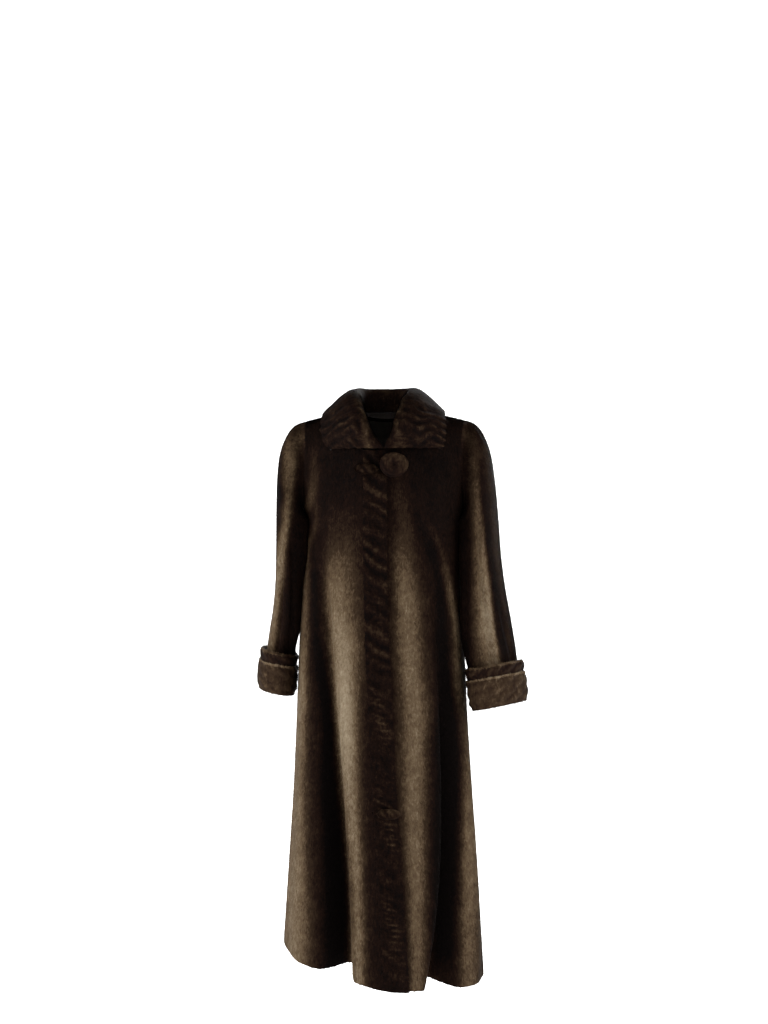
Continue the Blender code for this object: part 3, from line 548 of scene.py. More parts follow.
def pile(name, points, normals, tone, nap, count, material, seed, length=0.0064, width=0.0024,
         rise=13, free=()):
    """Tufts of fur over a grid, each one triangle from a sunken root to a tip.

    A tuft's root is at a random place, weighted by area, and its tip at
    root + length * (nap * cos(rise) + normal * sin(rise)), with a little scatter in each. Near
    the grid's free edges, each an axis and the end of it, they get shorter.
    """
    rng = np.random.default_rng(seed)
    across, along, area = cell_sides(points)
    area = area.ravel()
    cell = rng.choice(area.size, size=count, p=area / area.sum())
    i, j = np.divmod(cell, points.shape[1] - 1)
    u, v = rng.random((2, count, 1))

    def at(field):
        low = field[i, j] * (1 - u) + field[i, j + 1] * u
        high = field[i + 1, j] * (1 - u) + field[i + 1, j + 1] * u
        return low * (1 - v) + high * v

    out = unit(at(normals))
    lay = at(nap)
    lay = unit(lay - out * (lay * out).sum(axis=1, keepdims=True))
    beside = np.cross(out, lay)
    sway = rng.normal(0, TUFT_SWAY, (count, 1))
    lay = lay * np.cos(sway) + beside * np.sin(sway)
    beside = np.cross(out, lay)
    lift = np.radians(rise + rng.normal(0, TUFT_LIFT, (count, 1)))
    long = length * rng.uniform(*TUFT_LENGTHS, (count, 1))
    for axis, end in free:
        cell_length = np.linalg.norm((along, across)[axis][i, j], axis=1, keepdims=True)
        place = (i[:, None] + v, j[:, None] + u)[axis]
        from_edge = (place if end == 0 else points.shape[axis] - 1 - place) * cell_length
        long = long * np.clip(EDGE_LENGTH + EDGE_GROWTH * from_edge / length, 0, 1)
    root = at(points) - out * (length * np.sin(np.radians(rise)) * 0.98)
    tip = root + long * (lay * np.cos(lift) + out * np.sin(lift))
    half = beside * width * rng.uniform(*TUFT_WIDTHS, (count, 1))
    corners = np.stack([root + half, root - half, tip], axis=1).reshape(-1, 3)
    shade = at(tone[..., None])[:, 0] + rng.normal(0, TONE_SCATTER, count)
    values = {"tone": np.repeat(shade, 3), "tip": np.tile([ROOT_TIP, ROOT_TIP, 1.0], count)}
    faces = np.arange(3 * count).reshape(-1, 3)
    shading = unit(out + NORMAL_LEAN * lay + rng.normal(0, NORMAL_SCATTER, (count, 3)))
    shading = np.repeat(shading, 3, axis=0)
    return make_piece(name, corners, faces, [material], values, shading=shading)


def down_nap(points):
    """The direction down the rows of a grid, from each row to the one before it."""
    return unit(-np.gradient(points, axis=0))


def replace_node(node, slot):
    """Gives a skin and its pile the place of a node, which it hides. slot is not used."""
    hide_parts(node)


def fur_piece(node, points, normals, tone, count, seed, flat, held="hung", rests=(), slot="fur",
              material=PELT, nap=None, ring=False, flip=False, sink=PILE, wall=HIDE, **tufts):
    """A skin and its pile, which together replace a node. flat is not used."""
    base = skin(node + "_skin", points, normals, tone, material, ring, flip, sink, wall)
    if ring:
        points, normals, tone = (ring_closed(grid) for grid in (points, normals, tone))
    lay = down_nap(points) if nap is None else nap
    fur = pile(node + "_pile", points, normals, tone, lay, count, material, seed, **tufts)
    replace_node(node, slot)
    area = float(cell_sides(points)[2].sum())
    list(rests)


SKIRT_STEPS, CHEST_STEPS, CROWN_STEPS = 104, 24, 20
RIDGE_AWAY = 1.7
RIDGE_SHARE = 0.75
CREASE_ENDS = 0.25  # share of a crease over which it fades at each end


def creased(points, normals, across, up, lines):
    """The points with troughs -depth * exp(-q^2) along lines in a chart, and a ridge beside each.

    q is the distance from the line as a share of its half width. A ridge stands RIDGE_AWAY of them
    away, on the side that its sign gives.
    """
    moved = 0 * across
    for a, u, b, w, wide, depth, ridge in lines:
        long = np.hypot(b - a, w - u)
        t = ((across - a) * (b - a) + (up - u) * (w - u)) / long**2
        q = ((across - a) * (w - u) - (up - u) * (b - a)) / long / wide
        fade = ease(t / CREASE_ENDS) * ease((1 - t) / CREASE_ENDS)
        beside = np.exp(-((q - RIDGE_AWAY * np.sign(ridge)) ** 2)) * abs(ridge)
        moved = moved + depth * fade * (RIDGE_SHARE * beside - np.exp(-q * q))
    return points + normals * moved[..., None]


def part_at_seams(points, facing, columns, side):
    """Draws a panel back from its shoulder seam and side seams, and squares its edges there."""
    for edge in [(-1, slice(None))] + [(slice(0, SKIRT_STEPS), column) for column in columns]:
        points[(*edge, 1)] += side * SEAM / 2
        facing[(*edge, 1)] = 0
        facing[edge] = unit(facing[edge])


# Creases of the fronts: from (x, z) to (x, z), half width, depth, and the ridge beside
FRONT_CREASES = {
    "right": (
        (-0.176, -0.215, -0.150, -0.305, 0.011, 0.0050, 0.6),
        (-0.160, -0.190, -0.120, -0.330, 0.012, 0.0030, 0.4),
        (-0.060, -0.120, -0.110, -0.190, 0.014, 0.0022, 0.3),
        (-0.135, -0.330, -0.100, -0.520, 0.012, 0.0030, 0.4),
    ),
    "left": (
        (0.098, -0.240, 0.160, -0.480, 0.013, 0.0055, 0.6),
        (0.060, -0.270, 0.125, -0.470, 0.012, 0.0040, 0.5),
        (0.150, -0.180, 0.168, -0.290, 0.010, 0.0035, 0.4),
        (0.070, -0.120, 0.115, -0.185, 0.014, 0.0022, 0.3),
    ),
}
fronts = {}
for name, side, offset, power, lap, count, flat in (
    ("right", -1, -BAND_WIDTH - SEAM, 0.60, 1, 108000, (0.444, 1.321)),
    ("left", 1, -UNDERLAP, 0.35, -1, 116000, (0.388, 1.359)),
):
    share = np.linspace(0, 1, 42)[None, :]
    grid = front_grid(side, offset, power, lap, share, SKIRT_STEPS, CHEST_STEPS, CROWN_STEPS)
    facing = side * grid_normals(grid)
    grid = creased(grid, facing, grid[..., 0], grid[..., 2], FRONT_CREASES[name])
    facing = side * grid_normals(grid)
    part_at_seams(grid, facing, (-1,), -1)
    fronts[name] = grid, facing
    fur_piece("front_" + name, grid, facing, pelt_tone_and_shading(grid), count, 11 + side, flat,
              rests=["back"], flip=side < 0, free=((0, 0),))

# --- The back ---------------------------------------------------------------------------------
# One flared back of the same pelts, sewn to both fronts at the sides and over the shoulders. It
# hangs in four long folds from below the shoulder blades, and its neckline is cut as a half oval.

NECK_BACK = 0.062


def back_grid(share, skirt, chest, crown):
    """Points of the back from its left side round to its right, in rows like those of a front."""
    rise = np.linspace(0, 1, skirt, endpoint=False)[:, None]
    angle = 90 + 180 * share
    below = body(angle, hem_at(angle) + (UNDERARM_Z - hem_at(angle)) * rise, 0)
    z = np.linspace(UNDERARM_Z, NECK_Z, chest)[:, None]
    edge = np.where(z <= UNDERARM_Z, 90.0, 180 - angle_of(curve(ARMHOLE_Z, ARMHOLE_X, z), z))
    middle = body(edge + (360 - 2 * edge) * share, z + 0 * share, 0)
    turn = np.linspace(0, 90, crown + 1)[1:, None]
    x = arm_x(turn) * (1 - 2 * share)
    neckline = NECK_BACK * np.sqrt(np.clip(1 - (x / NECK_HALF) ** 2, 0, 1))
    most = np.degrees(np.arccos(neckline / cap(x, 0 * x, 1, 0)[..., 1]))
    return np.concatenate([below, middle, cap(x, turn * most / 90, 1, 0)])


BACK_CREASES = (
    (0.120, -0.175, 0.060, -0.420, 0.016, 0.0045, 0.5),
    (-0.128, -0.170, -0.050, -0.450, 0.018, 0.0050, -0.5),
    (0.150, -0.300, 0.110, -0.430, 0.011, 0.0035, 0.4),
    (-0.150, -0.310, -0.120, -0.400, 0.010, 0.0030, -0.4),
    (0.030, -0.110, 0.070, -0.210, 0.014, 0.0025, 0.0),
)
share = np.linspace(0, 1, 84)[None, :]
back = back_grid(share, SKIRT_STEPS, CHEST_STEPS, CROWN_STEPS)
back = creased(back, grid_normals(back), back[..., 0], back[..., 2], BACK_CREASES)
back_facing = grid_normals(back)
part_at_seams(back, back_facing, (0, -1), 1)
fur_piece("back", back, back_facing, pelt_tone_and_shading(back), 138000, 23, (0.757, 1.329),
          rests=["sleeve_left"], free=((0, 0),))

# --- The front band ---------------------------------------------------------------------------
# A strip of the same fur cut on the slant, so that its let-out strips cross it as soft ridges.
# It is sewn along the right front's edge and covers the hidden closure.

RIB_PITCH = 0.034
RIB_HEIGHT = 0.0045
FINE_PITCH = 0.0118  # of the small marks between the ribs
FINE_HEIGHT = 0.0005
BAND_TONE = 0.13
RIB_PAINTED_SHADING = 0.34
RIBBED = fur_material("ribbed_fur", streaks=0.24, clouds=0.28, mottle=0.50)
RIBBED_TUFT = {"length": 0.0052, "width": 0.0018}


def band_grid(rows, columns):
    """Points of the band, without its ribs, from its outer seam to the closure line."""
    share = np.linspace(0, 1, columns)[None, :]
    up = np.linspace(0, 1, rows)[:, None]
    low = HEM_Z + 0 * up
    for _ in range(5):
        x = curve(CLOSURE_Z, CLOSURE_X, low) - BAND_WIDTH * (1 - share)
        bottom = hem_at(angle_of(x, HEM_Z))
        z = bottom + (NECK_Z - bottom) * up
        low = z[:, -1:]
    return body(angle_of(x, z), z, 1), share


band, across = band_grid(300, 17)
up = band[..., 2]
arch = np.sin(np.pi * across)
edge_fade = np.sin(np.pi * np.clip(across, 0.12, 0.88))
low = ease((-0.50 - up) / 0.25)
# The ribs bend upwards in their middles, and their spacing, height and strength are uneven
uneven = 0.24 * np.sin(up * 23.0) + 0.13 * np.sin(up * 61.0 + 2.6 * across)
wave = up / RIB_PITCH + 0.9 * across + 0.22 * arch * np.sin(up * 31.0) + uneven
rib = 0.5 + 0.5 * np.sin(2 * np.pi * wave)
wave = up / FINE_PITCH + 1.1 * across + 0.35 * np.sin(up * 41) + 0.3 * arch
fine = np.sin(2 * np.pi * wave)
height = RIB_HEIGHT * rib * (1 - 0.35 * low) + FINE_HEIGHT * fine
height = np.minimum(height, RIB_HEIGHT) * edge_fade
band = band + grid_normals(band) * height[..., None]
# The ribs are painted lighter on their crests and darker between them, a painted highlight and shade
# of uneven strength; the marks are light dashes in the fur
strong = (0.62 + 0.38 * np.sin(up * 37.0 + 3.0 * across)) * (1 - 0.7 * low)
marks = np.maximum(fine - 0.25, 0) * np.maximum(np.sin(up * 29.0 + 4.0 * across) + 0.35, 0)
tone = BAND_TONE + RIB_PAINTED_SHADING * (rib - 0.42) * strong + (0.12 + 0.16 * low) * marks * arch
lay = unit(-np.gradient(band, axis=0) + 2.4 * np.gradient(band, axis=1))
fur_piece("front_band", band, grid_normals(band), tone, 42000, 31, (0.054, 1.177),
          rests=["front_left"], slot="ribbed_fur", material=RIBBED, nap=lay, free=((0, 0),),
          **RIBBED_TUFT)

# --- The sleeves ------------------------------------------------------------------------------
# Wide sleeves of long let-out strips, gathered a little into the armholes so that their heads
# stand out round. They bend at the elbow, and long folds run down their fronts and backs.

# Sections from the armhole down: the points furthest from the body and nearest to it (x, z each),
# the middle and half of the depth, all in millimetres, and the angle that the front turns inwards
SLEEVES = {
    "left": (
        (202, -34, 185.6, -269, -3, 77, 0), (215, -47, 187.2, -280, -2, 82, 1),
        (227, -68, 188.2, -291, 0, 88.5, 2), (237, -99, 189, -307, -1, 90, 4),
        (243, -140, 189.5, -327, -3, 90, 6), (247.5, -190, 190, -350, -5, 89, 8),
        (250, -250, 190, -378, -8, 87, 10), (253, -320, 190.5, -412, -11, 84, 13),
        (259, -390, 191.5, -454, -15, 81, 17), (268, -460, 196.5, -500, -18, 78, 22),
        (277, -530, 204, -548, -21, 76, 26), (284, -590, 214, -600, -23, 74, 28),
        (288.5, -637, 222.5, -650, -24, 73, 29),
    ),
    "right": (
        (202, -34, 185.8, -269, -3, 77, 0), (215, -47, 187.2, -280, -2, 82, 1),
        (227, -68, 187.8, -291, 0, 88.5, 1), (237, -99, 188.2, -307, 0, 90, 2),
        (242.5, -140, 188.6, -327, 0, 90, 3), (245.5, -190, 189.2, -350, 1, 89, 4),
        (247, -250, 190.2, -378, 2, 87, 5), (248, -320, 191.8, -412, 2, 84, 6),
        (250, -385, 194, -450, 3, 81, 7), (256, -445, 200, -490, 5, 77, 9),
        (265, -500, 211.5, -532, 8, 74, 10), (273.5, -560, 214.5, -576, 9, 72, 11),
        (278, -612, 217, -626, 10, 71, 11),
    ),
}
SLEEVE_UNITS = np.array([1000] * 6 + [1])
SLEEVE_SEAM = 0.0004
SLEEVE_START = 0.0080
SLEEVE_SQUARE = 0.88
SLEEVE_RADIUS = 0.085  # what turns a crease's turn into a distance
SLEEVE_TONE = 0.17
# The fold that hangs over the body's side: how far it stands out below the armhole, the share
# that it has lost at the elbow, and its end
SLACK = {"left": (0.022, 0.34, 0.45), "right": (0.024, 0.50, 0.52)}
SLACK_TURN = 148
SLACK_WIDTH = 17

# Creases by sleeve: turn in degrees from the outermost point forwards and distance down at both
# ends, half width, depth, and how much of a ridge stands beside it towards the smaller turns
SLEEVE_CREASES = {
    "left": (
        (84, 0.10, 38, 0.56, 0.013, 0.0085, 0.55),
        (60, 0.22, 20, 0.46, 0.010, 0.0045, 0.5),
        (125, 0.12, 118, 0.40, 0.012, 0.0040, -0.4),
        (-40, 0.14, -62, 0.52, 0.015, 0.0060, 0.4),
        (-100, 0.20, -88, 0.50, 0.012, 0.0045, -0.4),
        (15, 0.36, -20, 0.56, 0.009, 0.0035, 0.5),
    ),
    "right": (
        (112, 0.10, 124, 0.42, 0.012, 0.0050, 0.4),
        (58, 0.16, 84, 0.52, 0.014, 0.0055, -0.6),
        (40, 0.30, 60, 0.56, 0.009, 0.0035, 0.4),
        (-38, 0.14, -60, 0.50, 0.015, 0.0060, 0.4),
        (-104, 0.22, -90, 0.50, 0.012, 0.0045, -0.4),
    ),
}
# Short gathers at the sleeve head: turn, length and depth
GATHERS = (
    (-58, 0.050, 0.0020),
    (-31, 0.070, 0.0028),
    (-8, 0.048, 0.0018),
    (19, 0.066, 0.0026),
    (47, 0.044, 0.0020),
)
# Painted highlights and shade of the sleeves' folds, and a dark pelt joint, as those of the front
SLEEVE_PAINTED_LIGHT_AND_JOINT = {
    "left": {
        "edge of the long fold": (
            (-574, 254, 45, 9, 46), (-529, 247, 40, 9, 58), (-484, 238, 36, 9, 64),
            (-427, 232, 32, 11, 60), (-360, 225, 27, 11, 52), (-304, 220, 25, 9, 44),
            (-247, 214, 22, 9, 36), (-191, 207, 22, 9, 28), (-135, 202, 20, 11, 24),
            (-68, 191, 20, 20, 18), (-32, 173, 27, 22, 12),
        ),
        "dark side of the fold": (
            (-551, 272, 9, 11, -12), (-472, 261, 9, 11, -14), (-405, 250, 9, 11, -14),
            (-315, 236, 9, 9, -12), (-247, 229, 9, 9, -8), (-158, 229, 9, 9, -4),
        ),
        "back of the sleeve": (
            (-585, 295, 13, 20, 22), (-472, 277, 11, 18, 20), (-337, 257, 11, 16, 16),
            (-202, 241, 9, 13, 12), (-68, 223, 11, 13, 10),
        ),
        "inner side": (
            (-540, 182, 13, 11, -12), (-315, 182, 13, 11, -10), (-90, 178, 13, 11, -6),
        ),
    },
    "right": {
        "long shine": (
            (-529, -261, 13, 16, 50), (-484, -254, 13, 16, 50), (-416, -245, 13, 13, 54),
            (-360, -238, 13, 13, 58), (-310, -234, 13, 13, 56), (-270, -227, 13, 13, 48),
            (-229, -220, 13, 13, 42), (-180, -214, 18, 13, 34), (-121, -209, 22, 16, 42),
            (-77, -214, 18, 27, 34), (-40, -200, 18, 27, 14),
        ),
        "pelt joint": (
            (-220, -238, 9, 9, -2), (-202, -236, 11, 9, -18), (-180, -234, 11, 9, -18),
            (-158, -236, 9, 9, -2),
        ),
        "inner side": (
            (-540, -214, 20, 20, -8), (-427, -205, 18, 18, -10), (-247, -193, 16, 13, -10),
            (-90, -184, 11, 11, -6),
        ),
        "shoulder": (
            (-104, -189, 13, 11, 4), (-77, -184, 18, 16, 11), (-49, -178, 27, 22, 13),
            (-27, -169, 36, 36, 10),
        ),
    },
}
# Painted light and shade along the folds of their backs: turn and distance down at the top and the
# bottom, half width, lighter
SLEEVE_BACK_PAINTED_LIGHT = (
    (-55, 0.08, -75, 0.62, 20, 0.26),
    (-112, 0.14, -100, 0.62, 14, 0.20),
    (-84, 0.2, -88, 0.6, 9, -0.12),
)


def section_ring(side, section, turn):
    """A flattened oval: middle + cos^s(turn) * reach + sin^s(turn) * ahead, with s SLEEVE_SQUARE."""
    x_out, z_out, x_in, z_in, y_middle, half_depth, twist = section / SLEEVE_UNITS
    middle = np.array([side * (x_out + x_in) / 2, y_middle, (z_out + z_in) / 2])
    reach = np.array([side * (x_out - x_in) / 2, 0, (z_out - z_in) / 2])
    twist = np.radians(twist)
    ahead = np.array([-side * np.sin(twist) * half_depth, -np.cos(twist) * half_depth, 0])
    across, forward = (np.sign(w) * np.abs(w) ** SLEEVE_SQUARE for w in (np.cos(turn), np.sin(turn)))
    return middle + across[:, None] * reach + forward[:, None] * ahead


def rings_between(rings, places):
    """Rings at places from 0 to the last, by the cubic through each point's own line of rings."""
    slope = np.gradient(rings, axis=0)
    i = np.clip(places.astype(int), 0, len(rings) - 2)
    u = (places - i)[:, None, None]
    low = (2 * u**3 - 3 * u**2 + 1) * rings[i] + (u**3 - 2 * u**2 + u) * slope[i]
    return low + (3 * u**2 - 2 * u**3) * rings[i + 1] + (u**3 - u**2) * slope[i + 1]


def armhole(side, front, back):
    """A ring of the values along the armhole's edges: down the front's and up the back's."""
    ahead = front[SKIRT_STEPS:, -1][::-1]
    behind = back[SKIRT_STEPS:, 0 if side > 0 else -1]
    top, low = (ahead[0] + behind[-1]) / 2, (ahead[-1] + behind[0]) / 2
    return np.concatenate([top[None], ahead[1:-1], low[None], behind[1:-1]])


def sleeve_creases(name):
    """Creases and gathers as lines in the chart of distances around and down."""
    lines = list(SLEEVE_CREASES[name])
    lines += [(turn, 0.004, turn * 1.15, long, 0.008, deep, 0.5) for turn, long, deep in GATHERS]
    for turn, down, last, last_down, *sizes in lines:
        around, last = SLEEVE_RADIUS * np.radians(turn), SLEEVE_RADIUS * np.radians(last)
        yield around, down, last, last_down, *sizes


def sleeve_tone_and_shading(name, grid, turn, down):
    """Tone of the fur, with painted light and shade as on the front where the sleeve faces it, and
    its own behind.
    """
    tone = SLEEVE_TONE + 0 * down
    for first, first_down, last, last_down, wide, light in SLEEVE_BACK_PAINTED_LIGHT:
        part = np.clip((down - first_down) / (last_down - first_down), 0, 1)
        u = wrapped(turn - first - (last - first) * part) / wide
        tone = tone + light * np.exp(-u * u) * ease((down - first_down + 0.05) / 0.12)
    front = ease((np.sin(np.radians(turn)) + 0.35) / 0.4)
    return tone + front * streaks_at(*seen_from_front(grid), SLEEVE_PAINTED_LIGHT_AND_JOINT[name])


def sleeve(name, side, front, front_facing):
    """A sleeve from the armhole's edges, which are those of the panels, through its sections."""
    edge = armhole(side, front, back)
    facing = unit(armhole(side, front_facing, back_facing))
    high = (edge[:, 2] - edge[:, 2].min()) / (edge[:, 2].max() - edge[:, 2].min()) * 2 - 1
    ahead = -edge[:, 1] / np.abs(edge[:, 1]).max()
    high, ahead = (np.sign(w) * np.abs(w) ** (1 / SLEEVE_SQUARE) for w in (high, ahead))
    turn = np.arctan2(ahead, high)
    away = side * unit(np.cross(facing, np.roll(edge, -1, axis=0) - np.roll(edge, 1, axis=0)))
    rings = [edge + away * SLEEVE_SEAM, edge + away * SLEEVE_START]
    rings = np.array(rings + [section_ring(side, row, turn) for row in SLEEVES[name]])
    grid = rings_between(rings, np.concatenate([[0, 0.5], np.linspace(1, len(rings) - 1, 84)]))
    normals = side * grid_normals(grid, True)
    normals[0] = facing
    steps = np.linalg.norm(np.diff(grid, axis=0), axis=2)
    down = np.concatenate([0 * steps[:1], np.cumsum(steps, axis=0)])
    turn = np.degrees(turn)[None, :] + 0 * down
    around = SLEEVE_RADIUS * np.radians((turn + 160) % 360 - 160)
    level = down / down[-1:] * down.mean(axis=1)[-1]
    grid = creased(grid, normals, around, level, sleeve_creases(name))
    most, less, end = SLACK[name]
    slack = most * ease(down / 0.035) * (1 - less * ease((down - 0.09) / 0.10))
    slack = slack * ease((end - down) / 0.18)
    slack = slack * np.exp(-((wrapped(turn - SLACK_TURN) / SLACK_WIDTH) ** 2))
    grid = grid + normals * slack[..., None]
    normals = side * grid_normals(grid, True)
    normals[0] = facing
    tone = sleeve_tone_and_shading(name, grid, turn, down)
    fur_piece("sleeve_" + name, grid, normals, tone, 82000, 41 + side, (0.668, 0.643),
              rests=["front_" + name, "back"], ring=True, flip=side < 0,
              nap=unit(np.gradient(ring_closed(grid), axis=0)))


for name, side in (("right", -1), ("left", 1)):
    sleeve(name, side, *fronts[name])

# --- The cuffs --------------------------------------------------------------------------------
# Each sleeve ends in a deep turned-back cuff of ribbed fur in two layers. The lower one is sewn
# to the sleeve's end and turned up, and the upper one stands out of it, so that a gap shows.

# Outlines in millimetres: how far out of the sleeve, and how high above its end
CUFF_PROFILES = {
    "lower": (
        (1.2, -0.6), (-5, -4), (3, -16), (11, -14.5), (15.5, -2), (16.8, 18), (16.6, 40), (15, 51),
        (12, 48), (11.8, 34.5), (1.2, 33.5),
    ),
    "upper": (
        (2, 35.5), (10.8, 36), (11, 49), (13.8, 58), (15.5, 68), (14.5, 74.5), (10, 76.5),
        (7.8, 69), (4, 53),
    ),
}
CUFF_RIMS = {"lower": 0.0455, "upper": 0.0705}
# Tone of a layer, how much lighter its outer front is painted, as if lit, and strength of the
# painted highlight and shade on its ridges
CUFF_TONES_AND_PAINTED_LIGHT = {"lower": (0.22, 0.22, 0.035), "upper": (0.07, 0.20, 0.06)}
CUFF_RIDGE = 0.0013
CUFF_RIPPLE = 0.0004
CUFF_SINK = 0.0013
CUFF_OUTSIDE = 0.0120  # how far out a layer's outside starts


def up_sleeve(rings, high):
    """Points at a distance up a sleeve from its end, given its rings from the end upwards."""
    steps = np.linalg.norm(np.diff(rings, axis=0), axis=2)
    before = np.concatenate([0 * steps[:1], np.cumsum(steps, axis=0)])
    n = int(np.clip(np.searchsorted(before.mean(axis=1), high) - 1, 0, len(steps) - 1))
    return rings[n] + (rings[n + 1] - rings[n]) * ((high - before[n]) / steps[n])[:, None]


def round_profile(profile, each):
    """The corners of a closed outline, and each side cut evenly into as many parts."""
    corners = np.array(profile) / 1000
    following = np.roll(corners, -1, axis=0)
    share = np.linspace(0, 1, each, endpoint=False)[None, :, None]
    return (corners[:, None] + (following - corners)[:, None] * share).reshape(-1, 2)


def cuff(name, side, layer, ridges, count, seed):
    """A layer of a cuff: its outline carried around the sleeve's end, with wavy ridges outside."""
    turn = np.linspace(0, 2 * np.pi, 112, endpoint=False)
    ends = np.array([section_ring(side, row, turn) for row in SLEEVES[name][:-5:-1]])
    up = (ends[1] - ends[0]).mean(axis=0)
    out = unit(side * np.cross(up, np.roll(ends[0], -1, axis=0) - np.roll(ends[0], 1, axis=0)))
    # lit is where the outer front of the cuff is painted lighter, a painted light
    lit = ease(0.5 + 0.5 * np.cos(turn - 0.55))
    dark, painted_light, ridge_shading = CUFF_TONES_AND_PAINTED_LIGHT[layer]
    rings, tones = [], []
    for far, high in round_profile(CUFF_PROFILES[layer], 4):
        wave = np.sin(ridges * turn + 260 * high + 1.3 * np.sin(2 * turn))
        ripple = np.sin(3.1 * ridges * turn + 420 * high + 2.0 * np.sin(3 * turn + 1))
        outside = ease((far - CUFF_OUTSIDE) / 0.003)
        lift = (CUFF_RIDGE * wave + CUFF_RIPPLE * ripple) * outside
        lift = lift - CUFF_SINK * (far > CUFF_OUTSIDE - 0.0001)
        rings.append(up_sleeve(ends, high) + out * (far + lift)[:, None])
        # A painted highlight on the layer's top above the rim height, stronger on the lit side, and
        # ridges painted lighter on their crests and darker between; patch is a pattern of the fur
        rim = ease((high - CUFF_RIMS[layer]) / 0.004)
        patch = np.sin(5 * turn - 160 * high) * np.sin(8 * turn + 230 * high + 1.0)
        tone = dark + painted_light * lit + outside * ridge_shading * (wave + ripple * 0.7)
        tones.append(tone + 0.05 * patch + rim * (0.06 + 0.28 * lit))
    grid, tone = np.array(rings)[::-1], np.array(tones)[::-1]
    number = np.arange(tone.size).reshape(tone.shape)
    cells = cells_of(np.pad(number, ((0, 1), (0, 1)), mode="wrap"))
    node = f"cuff_{name}_{layer}"
    values = {"tone": tone.ravel(), "tip": np.full(tone.size, 0.4)}
    faces = cells[:, ::-1] if side < 0 else cells
    base = make_piece(node + "_skin", grid.reshape(-1, 3), faces, [RIBBED], values)
    closed = np.pad(grid, ((1, 1), (1, 1), (0, 0)), mode="wrap")
    facing = side * grid_normals(closed)[1:-1, 1:]
    around = ring_closed(grid)
    lay = unit(np.gradient(around, axis=0))
    fur = pile(node + "_pile", around, facing, ring_closed(tone), lay, count, RIBBED, seed,
               length=0.0046, width=0.0018, rise=14)
    replace_node(node, "ribbed_fur")


for name, side in (("right", -1), ("left", 1)):
    cuff(name, side, "lower", 7, 17000, 55 + side)
    cuff(name, side, "upper", 9, 12000, 53 + side)

# --- The collar -------------------------------------------------------------------------------
# A stand and a wide turned-down collar in one piece of moire-marked fur. It is sewn to the
# neckline, stands up behind the neck, rolls over and ends in two broad wings at the front.

# From the centre front end to the centre back: the neck seam, the roll and the outer edge (mm)
COLLAR = (
    (1, -153, -98.5, 30, -154.5, -96.5, 120, -112, -96),
    (14, -146, -82, 26, -160, -72, 129, -108, -80),
    (30, -129, -61, 31, -148, -45, 133.5, -98, -59),
    (43, -103, -39, 40, -126, -19, 134.5, -80, -38),
    (52, -72, -19, 48, -94, 6, 134.5, -55, -21),
    (57, -38, -6, 54.5, -52, 23.5, 133.5, -26, -11),
    (57, -4, -2, 57, -6, 34.5, 131, 6, -7),
    (50, 24, -2, 54, 34, 43, 122, 58, -16),
    (30, 44, -2, 34, 62, 46, 78, 114, -28),
    (0, 50, -2, 0, 71, 47, 0, 132, -35),
)
COLLAR_LEAN = 0.011
COLLAR_WALL = 0.007
COLLAR_END_WALL = 0.0045
COLLAR_CLEAR = 0.0015
COLLAR_RIDGE = 0.0022
MOIRE_HEIGHT = 0.0005
LUMP_HEIGHT = 0.0009
RIM_SINK = 0.0006
COLLAR_TONE = 0.17
RIDGE_PAINTED_SHADING = 0.15
MARK_CONTRAST = 0.05
WING_END = 0.40  # how far round from its front end a wing is ridged, where 1 is the back
WING_RIDGES = 5


def clear_of_body(grid, past_roll):
    """Moves the collar's fall out from the panels, away from the line through the shoulders."""
    x, y, z = grid[..., 0], grid[..., 1], grid[..., 2]
    ahead, behind = (np.abs(cap(x, 0 * x, side, lap)[..., 1]) for side, lap in ((-1, 1), (1, 0)))
    deep = np.where(y < 0, ahead, behind)
    high = cap(x, 90 + 0 * x, 1, 0)[..., 2] - NECK_Z
    over = np.maximum(z - NECK_Z, 0)
    size = np.sqrt((y / deep) ** 2 + (over / high) ** 2)
    reach = np.hypot(y, over)
    least = reach / np.maximum(size, 1e-6) + COLLAR_CLEAR
    push = np.maximum(least / np.maximum(reach, 1e-6), 1) - 1
    push = push * ease(past_roll / 0.12)
    return np.stack([x, y * (1 + push), z + over * push], axis=-1)


def collar_grid(places, columns):
    """A parabola from the neck seam over the roll to the outer edge, moved out by the wall.

    places run from 0 at the wearer's right front end, over 1 at the centre back, to 2 at the left.
    """
    left = np.array(COLLAR) / 1000
    rows = np.concatenate([left * np.array([-1, 1, 1] * 3), left[-2::-1]])
    knots = np.linspace(0, 2, len(rows))
    at = np.stack([curve(knots, rows[:, n], places) for n in range(9)], axis=-1)
    at[:, 0::3] += (COLLAR_LEAN * np.clip(np.abs(places - 1) * 1.6 - 0.6, 0, 1) ** 2)[:, None]
    seam, roll, edge = at[:, None, 0:3], at[:, None, 3:6], at[:, None, 6:9]
    to_roll = np.linalg.norm(roll - seam, axis=2, keepdims=True)
    peak = to_roll / (to_roll + np.linalg.norm(edge - roll, axis=2, keepdims=True))
    pull = (roll - (1 - peak) ** 2 * seam - peak**2 * edge) / (2 * peak * (1 - peak))
    t = np.linspace(0, 1, columns)[None, :, None]
    grid = (1 - t) ** 2 * seam + 2 * t * (1 - t) * pull + t**2 * edge
    ends = ease((1 - np.abs(places - 1)) / 0.12)[:, None] * (1 - 0.8 * ease((t[..., 0] - 0.6) / 0.4))
    thick = COLLAR_END_WALL + (COLLAR_WALL - COLLAR_END_WALL) * ends
    grid = clear_of_body(grid, (t - peak)[..., 0])
    return grid - grid_normals(grid) * thick[..., None], thick[..., None]


round_neck = np.linspace(0, 2, 210)
collar, collar_thick = collar_grid(round_neck, 34)
round_neck = round_neck[:, None]
t = np.linspace(0, 1, 34)[None, :]
from_end = np.minimum(round_neck, 2 - round_neck)
